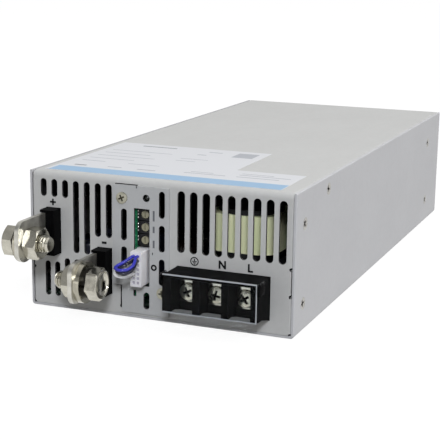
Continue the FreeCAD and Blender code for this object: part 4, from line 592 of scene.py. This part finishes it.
def raiseHead(work, turn):
    # a ring of edges extruded again and again, each ring pulled to its own height and outline
    made = bmesh.ops.create_circle(work, cap_ends=False, radius=1.0, segments=boltStyle["steps"])["verts"]
    bmesh.ops.transform(work, verts=made, matrix=Matrix.Rotation(math.pi / 2, 4, "Y"))
    rings = [made]
    for step in range(len(boltStyle["bowl"]) + 2):
        loop = [edge for edge in work.edges if all(vert in rings[-1] for vert in edge.verts)]
        grown = bmesh.ops.extrude_edge_only(work, edges=loop)["geom"]
        rings.append([item for item in grown if isinstance(item, bmesh.types.BMVert)])
    for level, ring in enumerate(rings):
        for vert in ring:
            angle = math.atan2(vert.co.z, vert.co.y)
            along, radius = headForms(angle, turn)[level]
            vert.co = Vector((-along * mm, radius * math.cos(angle) * mm, radius * math.sin(angle) * mm))
    for ring in (rings[0], rings[-1]):
        loop = [edge for edge in work.edges if all(vert in ring for vert in edge.verts)]
        bmesh.ops.contextual_create(work, geom=loop)


def makeBolt(name, node, headSide, turn):
    low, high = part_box(node)
    headHeight = boltStyle["headHeight"]
    work = bmesh.new()
    spinThread(work, (high.x - low.x) / mm - headHeight)
    raiseHead(work, turn)
    if headSide > 0:
        bmesh.ops.transform(work, verts=work.verts, matrix=Matrix.Rotation(math.pi, 4, "Z"))
        seat = high.x - headHeight * mm
    else:
        seat = low.x + headHeight * mm
    bmesh.ops.translate(work, verts=work.verts, vec=(seat, (low.y + high.y) / 2, (low.z + high.z) / 2))
    piece = addPiece(name, work, "bolt", "case", boltStyle["sharpAngle"])
    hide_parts(node)


makeBolt("positiveBolt", "positive_bolt", -1, boltStyle["positiveTurn"])
makeBolt("negativeBolt", "negative_bolt", 1, boltStyle["negativeTurn"])
print("bolts threaded")


# control board: solder joints of the trimmers, seen through the window
joints = {"face": -10.5, "y": -137.5, "radius": 0.5, "flatten": 0.9, "segments": 12, "rings": 8,
          "sharpAngle": 60, "heights": [48.6, 47.1, 45.6, 42.8, 41.3, 39.8, 37.0, 35.5]}


def makeSolderJoints():
    work = bmesh.new()
    for z in joints["heights"]:
        made = bmesh.ops.create_uvsphere(work, u_segments=joints["segments"], v_segments=joints["rings"],
                                         radius=joints["radius"] * mm)["verts"]
        bmesh.ops.scale(work, verts=made, vec=(joints["flatten"], 1.0, 1.0))
        bmesh.ops.translate(work, verts=made, vec=(joints["face"] * mm, joints["y"] * mm, z * mm))
    addPiece("solderJoints", work, "solder", "case", joints["sharpAngle"])


makeSolderJoints()
print("solder joints set")


# cross-head screws with a real recess, standing for the CAD ones
# crown is the dome's drop at the rim, dish the hollow in the middle, rings are depth and radius
screwStyle = {
    "poleScrews": {
        "node": "terminal_screws", "finish": "terminalScrew", "slot": "contact_metal",
        "axis": "y", "sides": (-1,),
        "spots": [(17.8, 17.6), (30.95, 17.6), (44.1, 17.6)], "turns": (24, -12, 36),
        "radius": 3.6, "crown": 0.75, "dish": 0.0, "span": 4.6, "width": 1.2, "depth": 1.5,
        "rings": [(1.1, 3.6), (2.4, 3.6), (2.4, 1.95), (9.4, 1.95)]},
    "plateScrews": {
        "node": "control_plate_screws", "finish": "plateScrew", "slot": "bright_screw",
        "axis": "y", "sides": (-1,),
        "spots": [(-16.8, 54.4), (2.75, 13.1)], "turns": (24, 8),
        "radius": 2.6, "crown": 0.4, "dish": 0.0, "span": 3.0, "width": 0.8, "depth": 0.8,
        "rings": [(0.6, 2.6), (1.0, 2.6), (1.0, 1.5), (6.0, 1.5)]},
    "fanScrews": {
        "node": "fan_screws", "finish": "caseScrew", "slot": "bright_screw",
        "axis": "y", "sides": (1,),
        "frames": ("left_fan_frame", "right_fan_frame"), "reach": 25.0, "turns": (10, -20, 35, 4),
        "radius": 3.4, "crown": 0.6, "dish": 0.0, "span": 4.0, "width": 1.0, "depth": 1.1,
        "rings": [(0.9, 3.4), (2.0, 3.4), (2.0, 1.9), (11.0, 1.9)]},
    "wallScrews": {
        "node": "case_screws", "finish": "caseScrew", "slot": "bright_screw",
        "axis": "x", "sides": (-1, 1),
        "spots": [(-128.0, 12.7), (-128.0, 48.0), (-94.8, 57.2), (109.2, 13.6), (109.2, 48.3)],
        "turns": (12, 38, -15, 30, 4),
        "radius": 2.75, "crown": 0.0, "dish": 0.3, "span": 3.2, "width": 0.9, "depth": 1.05,
        "rings": [(1.2, 1.5), (6.2, 1.5)]},
}
screwSharpAngle = 35


def crossHead(style, spot, tip, inward, turn):
    # a grid whose middle cells are pushed in as a cross, pulled out to a disc and extruded to the shank's end
    work = bmesh.new()
    # share of depth in the recess, 0 at the rim and 1 at the bottom, which drives the painted shade there
    recessShade = work.verts.layers.float.new("recessShade")
    radius, half, arm = style["radius"], style["width"] / 2, style["span"] / 2
    lines = [half, (half + arm) / 2, arm, (arm + radius) / 2, radius]
    lines = [-line for line in reversed(lines)] + lines
    cells = len(lines) - 1
    for vert in bmesh.ops.create_grid(work, x_segments=cells, y_segments=cells, size=1.0)["verts"]:
        u, v = (lines[round((c + 1) / 2 * cells)] for c in vert.co[:2])
        far, reach = max(abs(u), abs(v)), math.hypot(u, v)
        pull = 1 + max(0.0, (far - arm) / (radius - arm)) * (far / reach - 1)
        share = (reach * pull / radius) ** 2
        vert.co = Vector((u * pull, v * pull, style["crown"] * share + style["dish"] * (1 - share)))
    cross = []
    for face in work.faces:
        u, v = (abs(c) for c in face.calc_center_median()[:2])
        if min(u, v) < half and max(u, v) < arm:
            cross.append(face)
    grown = bmesh.ops.extrude_face_region(work, geom=cross)["geom"]
    bmesh.ops.delete(work, geom=[face for face in cross if face.is_valid], context="FACES")
    for item in grown:
        if isinstance(item, bmesh.types.BMVert):
            item.co.z = style["depth"]
            item[recessShade] = 1.0
    for along, reach in style["rings"]:
        rim = [edge for edge in work.edges if edge.is_boundary]
        for item in bmesh.ops.extrude_edge_only(work, edges=rim)["geom"]:
            if isinstance(item, bmesh.types.BMVert):
                scale = reach / math.hypot(item.co.x, item.co.y)
                item.co = Vector((item.co.x * scale, item.co.y * scale, along))
    bmesh.ops.holes_fill(work, edges=[edge for edge in work.edges if edge.is_boundary], sides=0)
    swing = Matrix.Rotation(math.radians(turn), 3, "Z")
    for vert in work.verts:
        u, v, depth = swing @ vert.co
        across, along = (spot[0] + u) * mm, (tip + inward * depth) * mm
        if style["axis"] == "x":
            vert.co = Vector((along, across, (spot[1] + v) * mm))
        else:
            vert.co = Vector((across, along, (spot[1] + v) * mm))
    bmesh.ops.recalc_face_normals(work, faces=work.faces)
    if work.calc_volume(signed=True) < 0:  # the recess can turn a shell inside out
        bmesh.ops.reverse_faces(work, faces=work.faces)
    head = bpy.data.meshes.new("head")
    work.to_mesh(head)
    work.free()
    return head


def makeCrossScrews():
    for name, style in screwStyle.items():
        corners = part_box(style["node"])
        axis = "xyz".index(style["axis"])
        spots = list(style.get("spots", ()))
        for frameName in style.get("frames", ()):  # four to a fan
            low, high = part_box(frameName)
            x, z = (low.x + high.x) / 2 / mm, (low.z + high.z) / 2 / mm
            reach = style["reach"]
            spots += [(x + across * reach, z + up * reach) for across in (-1, 1) for up in (-1, 1)]
        work = bmesh.new()
        for side in style["sides"]:
            tip = corners[0 if side < 0 else 1][axis] / mm
            for index, spot in enumerate(spots):
                head = crossHead(style, spot, tip, -side, style["turns"][index % len(style["turns"])])
                work.from_mesh(head)
                bpy.data.meshes.remove(head)
        piece = addPiece(name, work, style["finish"], "case", screwSharpAngle, turnFaces=False)
        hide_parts(style["node"])


makeCrossScrews()
print("cross-head screws set:", len(screwStyle), "groups")


# contact tongues: the bright upper end of each contact, folded forward above its screw
tongues = {"centers": (17.8, 30.95, 44.1), "half": 2.1, "face": -146.8, "thick": 0.7, "back": -145.2,
           "low": 20.9, "high": 24.6, "round": 0.25, "roundSteps": 2, "sharpAngle": 50}


def makeTongues():
    work = bmesh.new()
    half, thick, face, back = (tongues[key] for key in ("half", "thick", "face", "back"))
    low, high = tongues["low"], tongues["high"]
    # folded section drawn in y and z, then extruded across
    line = [(back, high), (face, high), (face, low), (face + thick, low), (face + thick, high - thick),
            (back, high - thick)]
    for x in tongues["centers"]:
        start = work.faces.new([work.verts.new(((x - half) * mm, y * mm, z * mm)) for y, z in line])
        grown = bmesh.ops.extrude_face_region(work, geom=[start])["geom"]
        moved = [item for item in grown if isinstance(item, bmesh.types.BMVert)]
        bmesh.ops.translate(work, verts=moved, vec=(2 * half * mm, 0, 0))
    across = [edge for edge in work.edges if abs(edge.verts[0].co.x - edge.verts[1].co.x) > half * mm]
    bmesh.ops.bevel(work, geom=across, offset=tongues["round"] * mm, affect="EDGES",
                    segments=tongues["roundSteps"], profile=0.5, material=-1)
    addPiece("contactTongues", work, "contact", "case", tongues["sharpAngle"])


makeTongues()
print("contact tongues folded")


# hinge ears of the terminal cover: black caps over the pivot pins
earCaps = {"sides": ((8.15, 9.1), (52.8, 53.75)), "front": -156.15, "back": -149.75,
           "low": 21.75, "high": 26.3, "round": 0.4, "roundSteps": 3, "sharpAngle": 40}


def makeEarCaps():
    work = bmesh.new()
    for x0, x1 in earCaps["sides"]:
        addBlock(work, (x0, earCaps["front"], earCaps["low"]), (x1, earCaps["back"], earCaps["high"]))
    bmesh.ops.bevel(work, geom=work.edges[:], offset=earCaps["round"] * mm, affect="EDGES",
                    segments=earCaps["roundSteps"], profile=0.5, material=-1)
    addPiece("earCaps", work, "nylon", "terminal_cover", earCaps["sharpAngle"])


makeEarCaps()
print("hinge ears capped")


# terminal cover: sawn edges of the clear pane in an opaque pale grey, partly their own frosted colour and
# partly painted highlight where they catch the light
paneEdges = {"face": -156.1, "proud": 0.02, "depth": 0.6, "pen": 0.4, "uprightPen": 0.28,
             "left": 9.6, "right": 52.3, "low": 9.9, "high": 26.8}


def makePaneEdges():
    proud, pen = paneEdges["proud"], paneEdges["pen"]
    left, right, low, high = (paneEdges[key] for key in ("left", "right", "low", "high"))
    y = (paneEdges["face"] - proud, paneEdges["face"] + paneEdges["depth"])
    work = bmesh.new()
    addBlock(work, (left, y[0], high - pen), (right + proud, y[1], high + proud))
    addBlock(work, (left, y[0], low - proud), (right + proud, y[1], low + pen))
    addBlock(work, (right - paneEdges["uprightPen"], y[0], low + pen), (right + proud, y[1], high - pen))
    addPiece("paneEdges", work, "shieldEdge", "terminal_cover")


makePaneEdges()
print("pane edged")


# signal plug: shade at the mouths of the free cavities, and the pale wire below the two blue loops
plugStyle = {
    "face": -146.4, "columns": (-8.5, -6.5), "topRow": 30.2, "pitch": 2.0, "rows": 7, "loopedRows": 2,
    "mouth": 1.28, "sunk": 0.25, "thick": 0.2,
    "paleRows": (3, 4), "paleWidth": 1.24, "paleRoundSteps": 4, "paleBendSteps": 8,
    "paleRoute": [(-8.5, -145.8, 22.2), (-8.5, -148.6, 22.2), (-8.7, -151.3, 22.15), (-9.9, -153.4, 22.15),
                  (-11.7, -154.1, 22.3), (-13.5, -153.8, 22.6), (-14.8, -152.6, 23.2), (-14.9, -151.2, 24.2),
                  (-13.7, -150.1, 24.9), (-11.5, -149.3, 24.9), (-9.4, -148.8, 24.4), (-8.5, -147.8, 24.2),
                  (-8.5, -145.8, 24.2)],
}


def makePlugMouths():
    half = plugStyle["mouth"] / 2
    face = plugStyle["face"] + plugStyle["sunk"]
    work = bmesh.new()
    for column, x in enumerate(plugStyle["columns"]):
        for row in range(plugStyle["loopedRows"], plugStyle["rows"]):
            if column == 0 and row in plugStyle["paleRows"]:
                continue
            z = plugStyle["topRow"] - row * plugStyle["pitch"]
            addBlock(work, (x - half, face, z - half), (x + half, face + plugStyle["thick"], z + half))
    addPiece("plugMouths", work, "cavity", "case")


def makePaleWire():
    curve = bpy.data.curves.new("paleWire", "CURVE")
    curve.dimensions = "3D"
    curve.bevel_depth = plugStyle["paleWidth"] / 2 * mm
    curve.bevel_resolution = plugStyle["paleRoundSteps"]
    curve.use_fill_caps = True
    spline = curve.splines.new("NURBS")
    route = plugStyle["paleRoute"]
    spline.points.add(len(route) - 1)
    for point, place in zip(spline.points, route):
        point.co = (*(c * mm for c in place), 1)
    spline.order_u = 3
    spline.use_endpoint_u = True
    spline.resolution_u = plugStyle["paleBendSteps"]
    curve.materials.append(finishes["paleWire"])
    piece = bpy.data.objects.new("paleWire", curve)
    bpy.context.scene.collection.objects.link(piece)
    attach(piece, "case")


makePlugMouths()
makePaleWire()
print("plug finished")


# stage: pale floor, a sky that brightens towards one side, soft lamps
stageStyle = {
    "floorSize": 30.0, "floorDrop": 0.0002, "floorColor": (0.10, 0.10, 0.10), "floorRoughness": 0.9,
    "floorGlow": 0.93, "worldToward": (0.42, 0.4, 0.8), "worldLow": 0.02, "worldHigh": 0.98,
    "worldSpan": (-0.05, 0.75), "horizon": (0.2, 0.28), "lampTarget": (0, 0, 0.03),
}
lamps = {
    "keyLamp": {"power": 8.0, "size": 1.2, "place": (1.5, -0.10, 1.1)},
    "frontLamp": {"power": 15.2, "size": 0.28, "place": (0.56, -1.42, 0.88), "color": (0.92, 0.945, 1.0)},
    "fillLamp": {"power": 1.5, "size": 1.0, "place": (-1.0, -1.6, 0.65)},
    "leftLamp": {"power": 5.0, "size": 1.0, "place": (-1.6, 0.9, 0.45)},
}


def seenDirectly(tree):
    # 1 for rays of the camera and for those that metal and glass send on
    rays = tree.nodes.new("ShaderNodeLightPath").outputs
    level = combine(tree, "MAXIMUM", rays["Is Camera Ray"], rays["Is Glossy Ray"])
    return combine(tree, "MAXIMUM", level, rays["Is Transmission Ray"])


def makeFloor():
    work = bmesh.new()
    bmesh.ops.create_grid(work, x_segments=1, y_segments=1, size=stageStyle["floorSize"])
    mesh = bpy.data.meshes.new("floor")
    work.to_mesh(mesh)
    work.free()
    mat, tree, shader = newFinish("floorPaper", stageStyle["floorColor"], specular=0.0)
    shader.inputs["Roughness"].default_value = stageStyle["floorRoughness"]
    # the camera, metal and glass see the paper as white; it still takes the object's shadow
    glow = tree.nodes.new("ShaderNodeMath")
    glow.operation = "MULTIPLY"
    glow.inputs[1].default_value = stageStyle["floorGlow"]
    tree.links.new(seenDirectly(tree), glow.inputs[0])
    shader.inputs["Emission Color"].default_value = (1, 1, 1, 1)
    tree.links.new(glow.outputs[0], shader.inputs["Emission Strength"])
    mesh.materials.append(mat)
    floor = bpy.data.objects.new("floor", mesh)
    floor.location = (0, 0, -stageStyle["floorDrop"])
    bpy.context.scene.collection.objects.link(floor)


def makeWorld():
    world = bpy.data.worlds.new("studio")
    world.use_nodes = True
    bpy.context.scene.world = world
    tree = world.node_tree
    backdrop = tree.nodes["Background"]
    backdrop.inputs["Color"].default_value = (1, 1, 1, 1)
    coords = tree.nodes.new("ShaderNodeTexCoord")
    toward = tree.nodes.new("ShaderNodeVectorMath")
    toward.operation = "DOT_PRODUCT"
    toward.inputs[1].default_value = Vector(stageStyle["worldToward"]).normalized()
    tree.links.new(coords.outputs["Generated"], toward.inputs[0])
    level = rangeOf(tree, toward.outputs["Value"], stageStyle["worldLow"], stageStyle["worldHigh"],
                    *stageStyle["worldSpan"])
    # just above the floor's far edge the camera, metal and glass see white, as they do on the floor
    split = tree.nodes.new("ShaderNodeSeparateXYZ")
    tree.links.new(coords.outputs["Generated"], split.inputs[0])
    haze = rangeOf(tree, split.outputs["Z"], 1.0, 0.0, *stageStyle["horizon"])
    white = combine(tree, "MULTIPLY", haze, seenDirectly(tree))
    tree.links.new(combine(tree, "MAXIMUM", level, white), backdrop.inputs["Strength"])


def addLamp(name, power, size, place, color=(1, 1, 1)):
    lamp = bpy.data.lights.new(name, "AREA")
    lamp.energy = power
    lamp.color = color
    lamp.size = size
    item = bpy.data.objects.new(name, lamp)
    item.location = place
    aim = Vector(stageStyle["lampTarget"]) - Vector(place)
    item.rotation_euler = aim.to_track_quat("-Z", "Y").to_euler()
    bpy.context.scene.collection.objects.link(item)


# camera at the photograph's angle: metres, degrees, millimetres for the lens and sensor
cameraFit = {"place": (0.2164, -0.6096, 0.1640), "yaw": 21.7319, "pitch": 12.8441, "roll": 0.8483,
             "lens": 99.625, "sensor": 36, "clipStart": 0.02, "clipEnd": 100}


def makeCamera():
    yaw, pitch, roll = (math.radians(cameraFit[key]) for key in ("yaw", "pitch", "roll"))
    forward = Vector((-math.sin(yaw) * math.cos(pitch), math.cos(yaw) * math.cos(pitch), -math.sin(pitch)))
    right = Vector((math.cos(yaw), math.sin(yaw), 0))
    up = right.cross(forward)
    across = right * math.cos(roll) + up * math.sin(roll)
    upward = up * math.cos(roll) - right * math.sin(roll)
    lens = bpy.data.cameras.new("camera")
    lens.sensor_width = cameraFit["sensor"]
    lens.lens = cameraFit["lens"]
    lens.clip_start, lens.clip_end = cameraFit["clipStart"], cameraFit["clipEnd"]
    item = bpy.data.objects.new("camera", lens)
    bpy.context.scene.collection.objects.link(item)
    pose = Matrix((across, upward, -forward)).transposed().to_4x4()
    pose.translation = Vector(cameraFit["place"])
    item.matrix_world = pose
    bpy.context.scene.camera = item


makeFloor()
makeWorld()
for lampName, lampValues in lamps.items():
    addLamp(lampName, **lampValues)
makeCamera()
bpy.context.scene.view_settings.view_transform = "Standard"
print("stage set")
